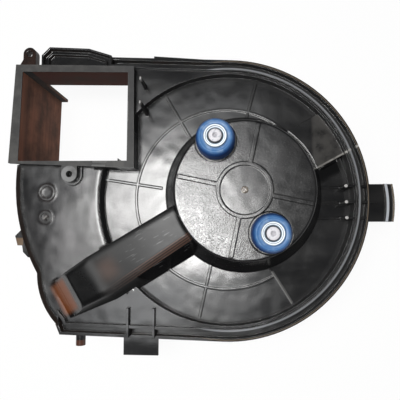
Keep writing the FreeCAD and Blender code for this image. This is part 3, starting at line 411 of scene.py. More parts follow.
# The cover's outlet shaft: square, moulded with the cover, open below and towards the
# back, with a flat frame round its mouth. Two tall tapered posts stand beside it.
shaft_reflection_brown = (0.270, 0.105, 0.060)
shaft_shaded_brown = (0.070, 0.0120, 0.0040)
shaft_streak = (0.035, 0.022, 0.017)
frame_grey = (0.022, 0.021, 0.020)
frame_pale = (0.042, 0.040, 0.037)
frame_edge_highlight = (0.20, 0.20, 0.195)
shaft_dull = 0.75
frame_dull = 0.45
shaft_wall = 0.0045
corner_post_edge = -0.1902
frame_right = -0.0935
frame_bar_left = -0.1055
post_top = 0.101
posts_low = (-0.091, 0.070)
posts_high = (-0.084, 0.101)


def shaft_marks(marks):
    """A brown painted reflection in streaks on the shaft's inner walls, darker as painted shade on
    the back wall, but not on its corner post.
    """
    x, y, z = axes_of(marks)
    facing = marks["facing"]
    openings = {row["name"]: row["box_m"] for row in frame["record"]["physics"]["openings"]}
    low, high = openings["outlet_shaft"]
    inside = times(between(x, low[0] - shaft_wall, high[0] + shaft_wall, 0.0006),
                   between(y, low[1] - shaft_wall, high[1] + shaft_wall, 0.0006),
                   fade(z, frame_top - 0.0005, frame_top - 0.0015))
    middle = [(low[axis] + high[axis]) / 2 for axis in (0, 1)]
    inward = math_node("ADD", times(facing[0], math_node("SUBTRACT", middle[0], x)),
                       times(facing[1], math_node("SUBTRACT", middle[1], y)))
    inside = times(inside, fade(inward, 0.0, 0.004))
    streaks = noise(stretched(marks["place"], (90.0, 9.0, 190.0)), 1.0, 4.0, 0.6)
    # Brown painted reflection on the inner walls, with painted shade on the back wall.
    back_wall = fade(facing[1], -0.4, -0.8)
    brown = colour_mix(back_wall, shaft_reflection_brown, shaft_shaded_brown)
    brown = colour_mix(times(fade(streaks, 0.35, 0.70, 0.0, 0.40),
                             math_node("SUBTRACT", 1.0, back_wall)), brown, shaft_streak)
    post = times(fade(x, corner_post_edge, corner_post_edge - 0.0005), back_wall, back_wall)
    paint(marks, inside, colour_mix(post, brown, housing_black))
    roughen(marks, inside, shaft_dull)


def post_marks(marks):
    """Painted highlights on the tips of the two tall posts."""
    x, y, z = axes_of(marks)
    tips = times(fade(z, post_top - 0.0065, post_top - 0.0025),
                 between(x, posts_low[0], posts_high[0], 0.0005),
                 between(y, posts_low[1], posts_high[1], 0.001))
    paint(marks, tips, tip_highlight_grey, 0.8)


def frame_marks(marks):
    """Mottled grey face of the frame, plainer and darker on its right bar."""
    x, z = marks["x"], marks["z"]
    face = times(fade(z, frame_top - 0.0007, frame_top - 0.0003),
                 fade(z, frame_top + 0.001, frame_top + 0.0006),
                 fade(x, frame_right, frame_right - 0.001), fade(marks["facing"][2], 0.5, 0.8))
    mottle = fade(noise(marks["place"], 45.0, 5.0, 0.7), 0.42, 0.66)
    cast = colour_mix(mottle, tuple(0.55 * part for part in frame_grey), frame_pale)
    cast = colour_mix(fade(x, frame_bar_left, frame_bar_left + 0.002, 0.0, 0.7), cast,
                      housing_grey)
    paint(marks, face, cast, 0.85)
    roughen(marks, face, frame_dull)
    marks["frame_face"] = face


def frame_edge_marks(marks):
    """Painted highlight lines along the frame's edges."""
    paint(marks, times(marks["frame_face"], marks["edges"]), frame_edge_highlight, 0.7)


# The cover's cooling duct: a half-tube moulded on the disc that leads air from a hole
# in the lower left corner to the motor cup. Its far end is cut down by a slope.
duct_end_reflection_brown = (0.150, 0.045, 0.013)
duct_brown_highlight = (0.095, 0.042, 0.024)
duct_scratch = (0.14, 0.14, 0.14)
duct_heading = 210.7
duct_front_taper = -0.0614
duct_front_start = 0.0143
duct_line_width = 0.001848
duct_slope_start = 0.160
duct_slope_end = 0.192
duct_edge_round = 0.0045


def duct_area(along, across, z):
    """1 on the cooling duct's top and edges."""
    return times(fade(along, 0.056, 0.058), fade(z, 0.080, 0.084),
                 between(across, -0.026, 0.032, 0.001))


def duct_marks(marks):
    """Painted shade on the duct's low end with a brown painted reflection, brown painted
    highlight lines on its front edge, scratches on its top and a brown painted reflection
    on its sloping end."""
    x, y, z = axes_of(marks)
    up = marks["facing"][2]
    along, across = turned_axes(x, y, duct_heading)
    on_duct = duct_area(along, across, z)
    # Painted shade on the duct's low end.
    paint(marks, times(on_duct, fade(along, 0.085, 0.150)), painted_shade_black)
    # A brown painted reflection on the low end.
    glow = times(between(along, 0.122, 0.136, 0.006), on_duct,
                 between(across, -0.010, 0.006, 0.006))
    paint(marks, glow, duct_brown_highlight, 0.35)
    # Brown painted highlight lines along the front edge.
    front_gap = math_node("MULTIPLY_ADD", along, duct_front_taper, duct_front_start)
    front_gap = math_node("ADD", front_gap, across)
    waves = math_node("SINE", times(front_gap, 2 * math.pi / duct_line_width))
    lines = times(fade(waves, -0.1, 0.6), between(front_gap, 0.0165, 0.0235, 0.0005), on_duct,
                  fade(along, 0.150, 0.070))
    paint(marks, lines, duct_brown_highlight)
    axes = add_node("ShaderNodeCombineXYZ", along)
    for socket, axis, scale in zip(axes.inputs, (along, across, z), (70.0, 650.0, 70.0)):
        plug(socket, times(axis, scale))
    scored = times(fade(noise(axes.outputs[0], 1.0, 3.0, 0.6), 0.62, 0.70), on_duct,
                   fade(along, 0.150, 0.080))
    paint(marks, scored, duct_scratch, 0.7)
    # A brown painted reflection on the sloping end.
    patch = times(fade(along, duct_slope_start + 0.006, duct_slope_start + 0.012),
                  between(across, -0.0155, 0.0125, 0.003),
                  fade(along, duct_slope_end, duct_slope_end - 0.006), fade(z, 0.0700, 0.0730),
                  fade(up, 0.3, 0.6), fade(noise(marks["place"], 70.0, 4.0), 0.10, 0.35))
    paint(marks, patch, duct_end_reflection_brown, 0.92)
    roughen(marks, patch, 0.20)
    dull = math_node("SUBTRACT", fade(along, 0.070, 0.120, 0.32, 0.50),
                     fade(along, 0.134, 0.148, 0.0, 0.42))
    roughen(marks, on_duct, times(dull, fade(up, 0.5, 0.7)))
    roll = times(fade(along, 0.136, 0.170, 1.0, 0.0), on_duct, fade(up, 0.8, 0.9))
    marks["normal"] = bumped(marks["normal"], roll, 1.0, 0.0045)


# The cover's rim: two lips with a groove between them, moulded round the scroll, and
# the deck's rolled edges, with the lug, ear, clip and peg that stand out from them.
lip_highlight_pale = (0.18, 0.185, 0.195)
lug_pale = (0.15, 0.15, 0.15)
lug_brown = (0.020, 0.010, 0.007)
clip_tan = (0.13, 0.080, 0.042)
peg_brown = (0.075, 0.030, 0.018)
edge_brown = (0.016, 0.009, 0.006)
rim_edge_width = 0.00025
rim_outer_reach = 0.125
lip_reach = (0.1136, 0.1151)
outer_line_reach = (0.1234, 0.1240)
deck_edge_round = 0.0050
left_edge_round = 0.0040
rail_extra_round = 0.0008
rail_front = 0.120
lug_place = (-0.1534, 0.0172)
clip_corner = (-0.2005, -0.0395)
peg_spot = (-0.1452, -0.1290)


def behind_rail_front(y):
    """1 behind the frame, where the rail and the ear stand."""
    return fade(y, rail_front - 0.0005, rail_front + 0.0005)


def left_edge_area(x, y, z):
    """The deck's left edge, below the outlet shaft and under the lip's top."""
    return times(fade(x, -0.162, -0.166), fade(y, 0.026, 0.024),
                 fade(z, lip_top - 0.001, lip_top - 0.002))


def edge_radius(x, y, z):
    """Edge radius: wide on the cooling duct and where the deck rolls down, fine on
    the rim and beyond it."""
    along, across = turned_axes(x, y, duct_heading)
    reach = distance_from(x, y, chamber_centre)
    radius = fade(reach, chamber_reach - 0.004, chamber_reach - 0.002, wear_width, rim_edge_width)
    at_rail = times(fade(x, -0.110, -0.115), behind_rail_front(y))
    at_left = times(left_edge_area(x, y, z), fade(z, deck_top - 0.006, deck_top - 0.004))
    deck_edge = times(between(reach, chamber_reach - 0.002, chamber_reach + 0.010, 0.0005),
                      fade(x, -0.100, -0.102), fade(z, deck_top - 0.003, deck_top - 0.001))
    extras = ((at_rail, rail_extra_round), (at_left, left_edge_round),
              (deck_edge, deck_edge_round),
              (duct_area(along, across, z), duct_edge_round - wear_width))
    for mask, extra in extras:
        radius = math_node("MULTIPLY_ADD", mask, extra, radius)
    return radius


def rim_marks(marks):
    """Brown dust on the rim's outer side, and painted highlight lines on its two lips at the
    right.
    """
    x, y, z = axes_of(marks)
    up = marks["facing"][2]
    reach = distance_from(x, y, chamber_centre)
    outside = math_node("MAXIMUM", fade(reach, rim_outer_reach - 0.0015, rim_outer_reach - 0.0008),
                        fade(x, -0.200, -0.203))
    outer_side = times(fade(up, 0.5, 0.1), fade(z, 0.080, 0.070),
                       fade(noise(marks["place"], 40.0), 0.3, 0.7), outside)
    paint(marks, outer_side, skirt_brown, 0.8)
    # Painted highlights along the inner lip and the outer line, on the right only.
    right_side = fade(x, -0.060, -0.020)
    inner_lip = times(between(reach, *lip_reach, 0.0004),
                      fade(z, lip_top - 0.0015, lip_top - 0.0005), right_side)
    paint(marks, inner_lip, lip_highlight_pale, 0.9)
    outer_line = times(between(reach, *outer_line_reach, 0.0003), fade(z, 0.0725, 0.0735),
                       right_side)
    paint(marks, outer_line, beige_edge_highlight, 0.8)
    roughen(marks, times(fade(up, 0.7, 0.4), fade(reach, 0.098, 0.102)), 0.45)


def fitting_marks(marks):
    """Pale front lug, tan clip, reddish peg, brown ear behind the frame and a brown
    line along the deck's left edge."""
    x, y, z = axes_of(marks)
    place = marks["place"]
    on_lug = times(fade(distance_from(x, y, lug_place), 0.0078, 0.0066), fade(z, 0.0792, 0.0806))
    paint(marks, on_lug, lug_pale, fade(noise(place, 150.0), 0.2, 0.6))
    clip = times(fade(x, clip_corner[0], clip_corner[0] - 0.001),
                 between(y, clip_corner[1] - 0.010, clip_corner[1], 0.001))
    paint(marks, clip, clip_tan, 0.85)
    peg = times(fade(y, peg_spot[1], peg_spot[1] - 0.001),
                between(x, peg_spot[0] - 0.006, peg_spot[0] + 0.006, 0.001))
    paint(marks, peg, peg_brown, 0.85)
    ear = times(fade(x, -0.190, -0.194), behind_rail_front(y))
    paint(marks, ear, lug_brown, fade(noise(place, 70.0, 4.0), 0.3, 0.6))
    left_line = times(marks["edges"], left_edge_area(x, y, z))
    paint(marks, left_line, edge_brown, 0.8)


# The cover's two low round bosses on the left deck, moulded with it: a wide ring with
# a face inside painted dark as shade, and a small ring round a nub, with painted shade
# round the nub and a slanted painted highlight across it.
boss_pale = (0.050, 0.050, 0.052)
boss_height = 0.0013
large_boss_place = (-0.1762, 0.0016)
small_boss_place = (-0.1771, -0.0209)


def boss_marks(marks):
    """Pale rings on both bosses, painted shade on the wide one's face and round the small one's
    nub, and a slanted painted highlight across the nub.
    """
    x, y, z = axes_of(marks)
    large_reach = distance_from(x, y, large_boss_place)
    small_reach = distance_from(x, y, small_boss_place)
    boss_top = deck_top + boss_height
    on_top = times(fade(z, boss_top - 0.0015, boss_top - 0.0008),
                   fade(z, boss_top + 0.0027, boss_top + 0.0017))
    # Painted shade on the wide boss's face and round the small boss's nub.
    large_face = times(fade(large_reach, 0.0056, 0.0050), on_top)
    mottle = fade(noise(marks["place"], grain_scale, 4.0), 0.35, 0.65)
    paint(marks, large_face,
          colour_mix(mottle, painted_shade_black, tuple(0.4 * part for part in boss_pale)))
    rings = math_node("ADD", between(large_reach, 0.0060, 0.0072, 0.0004),
                      between(small_reach, 0.0048, 0.0058, 0.0004))
    paint(marks, rings, boss_pale, 0.7)
    small_ring_shade = times(between(small_reach, 0.0032, 0.0046, 0.0003), on_top)
    paint(marks, small_ring_shade, painted_shade_black)
    # A slanted painted highlight across the small nub.
    slant = math_node("SUBTRACT", math_node("SUBTRACT", y, small_boss_place[1]),
                      math_node("SUBTRACT", x, small_boss_place[0]))
    slot = times(fade(small_reach, 0.0031, 0.0028), between(slant, -0.0010, 0.0010, 0.0004),
                 on_top)
    paint(marks, slot, wear_and_highlight_grey, 0.8)
    roughen(marks, math_node("ADD", large_face, small_ring_shade), 0.35)


# The cover's strap at the right: three moulded ribs that bridge the rim's groove as far
# as the side tab, which the base's hook catches.
tab_bead_highlight = (0.40, 0.42, 0.45)
strap_spots = ((0.088, 0.0057), (0.088, -0.0081), (0.088, -0.0217))
strap_top = 0.079
tab_left = 0.112
tab_arc_centre = (0.0415, -0.0085)
tab_bead_reach = (0.0827, 0.0849)
tab_end_reach = (0.0888, 0.0896)


def strap_marks(marks):
    """Painted highlights on the tips of the strap's ribs, and a pale bead and a beige end on the
    tab, painted as highlights.
    """
    x, y, z = axes_of(marks)
    # Painted highlights on the strap's rib tips.
    for spot in strap_spots:
        dot = times(fade(distance_from(x, y, spot), 0.0016, 0.0012),
                    fade(z, strap_top - 0.0012, strap_top - 0.0004))
        paint(marks, dot, tip_highlight_grey, 0.9)
    reach = distance_from(x, y, tab_arc_centre)
    on_tab = times(fade(x, tab_left, tab_left + 0.002), fade(marks["facing"][2], 0.3, 0.6))
    # Painted highlights along the tab's bead and end.
    paint(marks, times(between(reach, *tab_bead_reach, 0.0003), on_tab), tab_bead_highlight, 0.9)
    paint(marks, times(between(reach, *tab_end_reach, 0.0003), on_tab), beige_edge_highlight)


# The cover's hood: a raised moulded roof over the supply socket, with a deep recess
# in front of it, painted black as shade.
hood_edge_highlight = (0.30, 0.29, 0.27)
hood_heading = 28.5
hood_front = -0.0121
hood_back = 0.0305
hood_left = 0.060
hood_top = 0.071


def hood_marks(marks):
    """Painted highlight on the hood's front edge, dusty top of the hood, and painted shade in the
    recess.
    """
    x, y, z = axes_of(marks)
    over_hood = turned_axes(x, y, hood_heading)[1]
    right_of_cup = fade(x, hood_left, hood_left + 0.004)
    # Painted highlight along the hood's front edge.
    front_edge = times(between(over_hood, hood_front - 0.0004, hood_front + 0.0015, 0.0004),
                       fade(z, hood_top - 0.0012, hood_top - 0.0004),
                       between(x, 0.056, 0.104, 0.002),
                       fade(noise(marks["place"], 110.0), 0.15, 0.60))
    paint(marks, front_edge, hood_edge_highlight, 0.9)
    on_hood = times(between(over_hood, hood_front, hood_back, 0.0004),
                    between(z, hood_top - 0.0008, hood_top + 0.0008, 0.0002), right_of_cup,
                    fade(marks["facing"][2], 0.6, 0.9),
                    fade(noise(marks["place"], 70.0, 4.0), 0.25, 0.6))
    paint(marks, on_hood, dust_grey, 0.5)
    # Painted shade in the recess in front of the hood.
    reach = distance_from(x, y, chamber_centre)
    recess = times(between(over_hood, hood_front - 0.012, hood_front - 0.0005, 0.003),
                   fade(z, disc_top, disc_top - 0.002), right_of_cup,
                   fade(reach, chamber_reach + 0.002, chamber_reach + 0.001))
    paint(marks, recess, painted_shade_black)
    roughen(marks, recess, -0.12)


# The cover's motor cup: moulded with a sparked top, a smoother hub in a ring, and the
# broken gate where the plastic entered the mould.
nub_brown = (0.045, 0.026, 0.016)
nub_highlight = (0.34, 0.30, 0.24)
cup_centre = (0.0, 0.0)
cup_top_radius = 0.056
cup_hub_radius = 0.020
cup_foot_radius = 0.0695


def cup_marks(marks):
    """Golden gate nub with painted highlights, pale scuffs on the sparked top that are also
    painted glints, its pits, and the rough top outside the hub.
    """
    x, y, z = axes_of(marks)
    place = marks["place"]
    radius = distance_from(x, y, cup_centre)
    high = fade(z, cup_top - 0.0045, cup_top - 0.0035)
    # Painted highlights on the brown gate nub.
    gold = colour_mix(fade(noise(place, 700.0, 2.0), 0.50, 0.60), nub_brown, nub_highlight)
    paint(marks, times(fade(radius, 0.0034, 0.0022), high), gold)
    on_cup = times(fade(radius, cup_top_radius + 0.001, cup_top_radius - 0.001), high)
    # Pale scuffs on the sparked top, painted also as glints.
    spark = fade(noise(place, 1500.0, 2.0, 0.8), 0.58, 0.78)
    paint(marks, times(on_cup, spark), wear_and_highlight_grey, 0.30)
    roughen(marks, on_cup, 0.02)
    marks["pits"] = times(on_cup, fade(noise(place, 620.0, 3.0, 0.7), 0.42, 0.62),
                          fade(radius, cup_hub_radius, cup_hub_radius + 0.0025),
                          fade(x, -0.015, 0.015, 1.0, 0.35))


# The cover's disc: low ribs, moulded with it, run out from the cup and round it. The
# one at the lower right is painted pale all over as a highlight.
rib_highlight_pale = (0.17, 0.168, 0.165)
rib_height = 0.003
rib_half_width = 0.0012
lit_rib_heading = -58.0


def rib_marks(marks):
    """Painted highlights on the ribs' edges, fainter to the right, and one rib painted pale all
    over as a highlight.
    """
    x, y, z = axes_of(marks)
    radius = distance_from(x, y, cup_centre)
    # Painted highlights on the ribs' edges, fainter to the right.
    ribs = times(between(z, disc_top + 0.0003, disc_top + rib_height, 0.0002), marks["edges"],
                 fade(marks["facing"][2], -0.2, 0.2),
                 fade(radius, cup_foot_radius + 0.001, cup_foot_radius + 0.002),
                 fade(x, 0.0, 0.015, 1.0, 0.2))
    paint(marks, ribs, rib_highlight_pale, 0.4)
    angle = math.radians(lit_rib_heading)
    beside = turned_axes(x, y, lit_rib_heading)[1]
    line = chamber_centre[1] * math.cos(angle) - chamber_centre[0] * math.sin(angle)
    reach = distance_from(x, y, chamber_centre)
    # One rib painted pale all over as a highlight.
    lit_rib = times(between(beside, line - rib_half_width, line + rib_half_width, 0.0003),
                    between(z, disc_top, disc_top + rib_height, 0.0004), fade(x, 0.015, 0.030),
                    fade(radius, cup_foot_radius + 0.003, cup_foot_radius + 0.004),
                    fade(reach, chamber_reach - 0.001, chamber_reach - 0.0025))
    paint(marks, lit_rib, rib_highlight_pale)


def cover_material():
    """The moulded plastic with every part's marks, laid in turn."""
    marks = moulded_plastic("cover_plastic", cover_dust, edge_radius)
    for add_marks in (shaft_marks, post_marks, frame_marks, duct_marks, rim_marks, fitting_marks,
                      strap_marks, hood_marks, boss_marks, cup_marks, rib_marks,
                      frame_edge_marks):
        add_marks(marks)
    height = math_node("MULTIPLY_ADD", marks["pits"], 0.45, times(skin_grain(marks), 0.25))
    return finish_plastic(marks, height, cover_grain)


dress(["scroll_cover"], cover_material())

# Base of the scroll: the same black plastic, seen from the sides and below. It is
# duller than the cover, with road dust drawn down its walls.
base_dust = 0.10
base_grain = 0.25


def base_material():
    """The moulded plastic with dust in runs on its upright walls."""
    marks = moulded_plastic("base_plastic", base_dust)
    walls = fade(marks["facing"][2], 0.5, 0.1)
    runs = noise(stretched(marks["place"], (60.0, 60.0, 9.0)), 1.0, 4.0)
    dusty = times(walls, fade(runs, 0.45, 0.80), 0.30)
    paint(marks, dusty, skirt_brown)
    roughen(marks, dusty, 0.25)
    return finish_plastic(marks, skin_grain(marks), base_grain)


dress(["scroll_base"], base_material())

# Fan wheel: black nylon, moulded in one piece, with thirty-six forward-curved
# blades between a dished plate and a band. Its hub is pressed on the shaft.
wheel_outer = 0.075
wheel_band_inner = 0.0724
blade_inner = 0.061
blade_outer = 0.0742
blade_low = 0.007
blade_high = 0.0545
blade_thick = 0.0013
blade_sweep = 34.0
blade_count = 36
blade_steps = 8
band_height = 0.006
shaft_radius = 0.004
hub_radius = 0.009
hub_low = 0.011
well_low = 0.022
well_floor_radius = 0.040
well_head_radius = 0.052
well_wall = 0.001
plate_low = 0.054
plate_thick = 0.002
wheel_edge = 0.0004
wheel_dust = 0.06
wheel_grain = 0.2
plate_profile = ((shaft_radius, hub_low), (hub_radius, hub_low), (hub_radius, well_low),
                 (well_floor_radius, well_low), (well_head_radius, plate_low),
                 (wheel_outer, plate_low), (wheel_outer, plate_low + plate_thick),
                 (well_head_radius - well_wall, plate_low + plate_thick),
                 (well_floor_radius - well_wall, well_low + plate_thick),
                 (shaft_radius, well_low + plate_thick))


def lathe(name, profile, segments=96, place=(0.0, 0.0)):
    """Closed profile of radius and height turned about a vertical axis."""
    grid = bmesh.new()
    rings = []
    for index in range(segments):
        angle = 2 * math.pi * index / segments
        rings.append([grid.verts.new((place[0] + radius * math.cos(angle),
                                      place[1] + radius * math.sin(angle), height))
                      for radius, height in profile])
    count = len(profile)
    for index in range(segments):
        here, there = rings[index], rings[(index + 1) % segments]
        for step in range(count):
            after = (step + 1) % count
            grid.faces.new((here[step], there[step], there[after], here[after]))
    return close_mesh(name, grid)


def close_mesh(name, grid):
    """Merges doubles, turns the faces outwards and makes an object of the mesh."""
    bmesh.ops.remove_doubles(grid, verts=grid.verts, dist=1e-7)
    bmesh.ops.dissolve_degenerate(grid, edges=grid.edges, dist=1e-8)
    bmesh.ops.recalc_face_normals(grid, faces=grid.faces)
    mesh = bpy.data.meshes.new(name)
    grid.to_mesh(mesh)
    grid.free()
    made = bpy.data.objects.new(name, mesh)
    bpy.context.scene.collection.objects.link(made)
    soften(mesh)
    return made


def soften(mesh, sharp=32.0):
    """Smooth shading, with edges over an angle kept sharp."""
    mesh.polygons.foreach_set("use_smooth", [True] * len(mesh.polygons))
    mesh.set_sharp_from_angle(angle=math.radians(sharp))


def finished(made, name, sharp=32.0):
    """Applies an object's modifiers and gives back one plain object."""
    graph = bpy.context.evaluated_depsgraph_get()
    mesh = bpy.data.meshes.new_from_object(made.evaluated_get(graph))
    mesh.name = name
    bpy.data.objects.remove(made)
    result = bpy.data.objects.new(name, mesh)
    bpy.context.scene.collection.objects.link(result)
    soften(mesh, sharp)
    return result


def bevelled(made, width, segments=2, angle=40.0):
    """Gives an object's sharp edges a small round."""
    edge = made.modifiers.new("edge", "BEVEL")
    edge.width = width
    edge.segments = segments
    edge.limit_method = "ANGLE"
    edge.angle_limit = math.radians(angle)
    return made


def joined(name, pieces):
    """Puts plain objects of one material into one mesh."""
    grid = bmesh.new()
    material = next(slot for slot in pieces[0].data.materials if slot)
    for piece in pieces:
        grid.from_mesh(piece.data)
        bpy.data.objects.remove(piece)
    for face in grid.faces:
        face.material_index = 0
    mesh = bpy.data.meshes.new(name)
    grid.to_mesh(mesh)
    grid.free()
    mesh.materials.append(material)
    made = bpy.data.objects.new(name, mesh)
    bpy.context.scene.collection.objects.link(made)
    soften(mesh)
    return made


def input_id(tree, name):
    """The identifier of a node tree's named input."""
    for item in tree.interface.items_tree:
        if item.item_type == "SOCKET" and item.in_out == "INPUT" and item.name == name:
            return item.identifier


def pattern_tree(name, inputs, material):
    """A Geometry Nodes tree that copies a piece to points, makes the copies real and
    dresses them. Gives back the tree, its entry and the node that needs the points."""
    tree = bpy.data.node_groups.new(name, "GeometryNodeTree")
    for key, kind in {"Geometry": "NodeSocketGeometry", **inputs}.items():
        tree.interface.new_socket(key, in_out="INPUT", socket_type=kind)
    tree.interface.new_socket("Geometry", in_out="OUTPUT", socket_type="NodeSocketGeometry")
    entry = tree.nodes.new("NodeGroupInput")
    leave = tree.nodes.new("NodeGroupOutput")
    copies = tree.nodes.new("GeometryNodeInstanceOnPoints")
    real = tree.nodes.new("GeometryNodeRealizeInstances")
    dressed = tree.nodes.new("GeometryNodeSetMaterial")
    dressed.inputs["Material"].default_value = material
    plug(copies.inputs["Instance"], entry.outputs["Geometry"])
    plug(real.inputs[0], copies.outputs[0])
    plug(dressed.inputs["Geometry"], real.outputs[0])
    plug(leave.inputs[0], dressed.outputs[0])
    return tree, entry, copies


def round_pattern(material):
    """Geometry Nodes tree: copies a piece about the vertical axis."""
    tree, entry, copies = pattern_tree("round_pattern", {"Count": "NodeSocketInt"}, material)
    points = tree.nodes.new("GeometryNodePoints")
    index = tree.nodes.new("GeometryNodeInputIndex")
    turn = tree.nodes.new("ShaderNodeCombineXYZ")
    step = math_node("DIVIDE", 2 * math.pi, entry.outputs["Count"])
    plug(points.inputs["Count"], entry.outputs["Count"])
    plug(turn.inputs["Z"], math_node("MULTIPLY", index.outputs[0], step))
    plug(copies.inputs["Points"], points.outputs[0])
    plug(copies.inputs["Rotation"], turn.outputs[0])
    return tree


def repeated(made, tree, values, name):
    """Runs a piece through a Geometry Nodes tree and keeps the plain mesh."""
    pattern = made.modifiers.new("pattern", "NODES")
    pattern.node_group = tree
    for key, value in values.items():
        pattern[input_id(tree, key)] = value
    return finished(made, name)


def curved_blade(name):
    """One blade: a thin strip bent from the inner circle to the outer."""
    depth = blade_outer - blade_inner
    swing = math.radians(blade_sweep) * depth / blade_outer
    start = Vector((blade_inner, 0.0))
    end = Vector((blade_outer * math.cos(swing), blade_outer * math.sin(swing)))
    side = Vector((start.y - end.y, end.x - start.x)).normalized()
    front, back = [], []
    for index in range(blade_steps + 1):
        share = index / blade_steps
        middle = start.lerp(end, share) - side * (depth * share * (1 - share))
        half = blade_thick / 2 * (0.55 + 0.45 * math.sin(math.pi * share))
        front.append(middle + side * half)
        back.append(middle - side * half)
    outline = front + back[::-1]
    grid = bmesh.new()
    low = [grid.verts.new((spot.x, spot.y, blade_low)) for spot in outline]
    high = [grid.verts.new((spot.x, spot.y, blade_high)) for spot in outline]
    count = len(outline)
    grid.faces.new(low)
    grid.faces.new(high)
    for index in range(count):
        after = (index + 1) % count
        grid.faces.new((low[index], low[after], high[after], high[index]))
    return close_mesh(name, grid)


def wheel_material():
    """The moulded plastic with dust on the blades' inner edges."""
    marks = moulded_plastic("wheel_nylon", wheel_dust)
    x, y = axes_of(marks)[:2]
    radius = distance_from(x, y, cup_centre)
    tips = times(between(radius, blade_inner - 0.001, blade_inner + 0.005, 0.001),
                 fade(noise(marks["place"], 90.0, 4.0), 0.4, 0.7), 0.6)
    paint(marks, tips, dust_grey)
    roughen(marks, tips, 0.3)
    return finish_plastic(marks, skin_grain(marks), wheel_grain)


wheel_nylon = wheel_material()
dress(["fan_wheel"], wheel_nylon)
blades = repeated(curved_blade("blade"), round_pattern(wheel_nylon), {"Count": blade_count},
                  "wheel_blades")
plate = finished(bevelled(lathe("plate", plate_profile), wheel_edge), "wheel_plate")
band_high = blade_low + band_height
band_profile = ((wheel_band_inner, blade_low), (wheel_outer, blade_low),
                (wheel_outer, band_high), (wheel_band_inner, band_high))
band = finished(bevelled(lathe("band", band_profile), wheel_edge), "wheel_band")
wheel = joined("fan_wheel_moulding", [blades, plate, band])
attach(wheel, "rotor")
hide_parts("fan_wheel")

# Motor: zinc-plated steel can, end cap and bracket, a turned shaft, a laminated
# core with copper windings, ferrite segments, sintered bearings and brush gear.
# Each metal has its colour, least and most roughness, size of grain and pieces.
metals = (("zinc_plate", (0.70, 0.71, 0.72), 0.25, 0.55, 240.0,
           ("motor_can", "motor_end_cap", "motor_bracket", "weld_nuts", "mount_sleeves",
            "mount_washers", "mount_screws")),
          ("turned_steel", (0.60, 0.60, 0.61), 0.12, 0.30, 500.0, ("motor_shaft",)),
          ("lamination_steel", (0.30, 0.30, 0.31), 0.4, 0.6, 300.0, ("armature_core",)),
          ("copper", (0.72, 0.33, 0.17), 0.25, 0.45, 400.0, ("armature_winding", "commutator")),
          ("sintered_bronze", (0.50, 0.34, 0.16), 0.5, 0.7, 700.0,
           ("lower_bearing", "upper_bearing")),
          ("spring_steel", (0.35, 0.35, 0.36), 0.3, 0.5, 300.0, ("wheel_clip", "brush_springs")))
ferrite_dark = (0.03, 0.03, 0.032)
ferrite_light = (0.08, 0.08, 0.085)
metal_edge = 0.0004
metal_shade = 0.62


def metal_material(name, colour, low_rough, high_rough, grain):
    """Bare or plated metal with darker and rougher patches."""
    material, tree, shader = new_material(name)
    place = object_axes(tree)[0]
    patch = noise(place, grain, 4.0)
    normal = rounded_edges(tree, metal_edge)[0]
    darker = tuple(metal_shade * part for part in colour)
    base = colour_mix(fade(patch, 0.3, 0.7), darker, colour)
    shader.inputs["Metallic"].default_value = 1.0
    set_skin(shader, base, math_node("MULTIPLY_ADD", patch, high_rough - low_rough, low_rough),
             bumped(normal, noise(place, 900.0, 3.0), 0.15, 0.0001))
    return material


for finish, colour, low_rough, high_rough, grain, names in metals:
    dress(names, metal_material(finish, colour, low_rough, high_rough, grain))


def ferrite_material():
    """Dull grey sintered ferrite and carbon."""
    material, tree, shader = new_material("ferrite")
    grit = noise(object_axes(tree)[0], 800.0, 5.0, 0.7)
    normal = rounded_edges(tree, metal_edge)[0]
    set_skin(shader, colour_mix(grit, ferrite_dark, ferrite_light),
             math_node("MULTIPLY_ADD", grit, 0.2, 0.55), bumped(normal, grit, 0.3, 0.0001))
    return material


dress(["field_magnet_front", "field_magnet_rear", "carbon_brushes"], ferrite_material())
dress(["thrust_washer", "brush_holder"], wheel_nylon)

# Rubber mounts: two blue bushes moulded round steel sleeves. Each stands in a
# round pocket of the cup, and its neck passes the cup's top to a foot below.
bush_shaded_blue = (0.006, 0.042, 0.165)
bush_lit_blue = (0.038, 0.132, 0.31)
bush_dust = (0.30, 0.40, 0.52)
bush_profile = ((0.0046, 0.0), (0.0110, 0.0), (0.0110, 0.0043), (0.0090, 0.0043),
                (0.0090, 0.0095), (0.0146, 0.0095), (0.0156, 0.0108), (0.0157, 0.0150),
                (0.01585, 0.0153), (0.0157, 0.0156), (0.0157, 0.0222), (0.0154, 0.0252),
                (0.0146, 0.0278), (0.0138, 0.0293), (0.0129, 0.0303), (0.0120, 0.0305),
                (0.0117, 0.0302), (0.0100, 0.0302), (0.0098, 0.0305), (0.0046, 0.0305))
bush_edge = 0.0008
bush_sides = 72
bush_crease = 50.0
bush_film = 0.50
bush_edge_highlight = 0.35


def bush_material():
    """Blue rubber, painted deep on its sides as shade and paler on top as light, with painted
    highlights on its edges, under a film of dust.
    """
    material, tree, shader = new_material("blue_rubber")
    place = object_axes(tree)[0]
    normal, edges = rounded_edges(tree, bush_edge)
    # Painted light on the top and painted shade on the sides.
    skyward = fade(face_axes(tree)[2], 0.25, 0.95)
    base = colour_mix(skyward, bush_shaded_blue, bush_lit_blue)
    film = times(fade(noise(place, 160.0, 5.0), 0.45, 0.75), skyward, bush_film)
    base = colour_mix(film, base, bush_dust)
    # Painted highlights on the edges.
    base = colour_mix(times(edges, bush_edge_highlight), base, bush_lit_blue)
    set_skin(shader, base, math_node("MULTIPLY_ADD", noise(place, 120.0), 0.2, 0.34),
             bumped(normal, noise(place, 700.0, 3.0), 0.12, 0.0001))
    return material


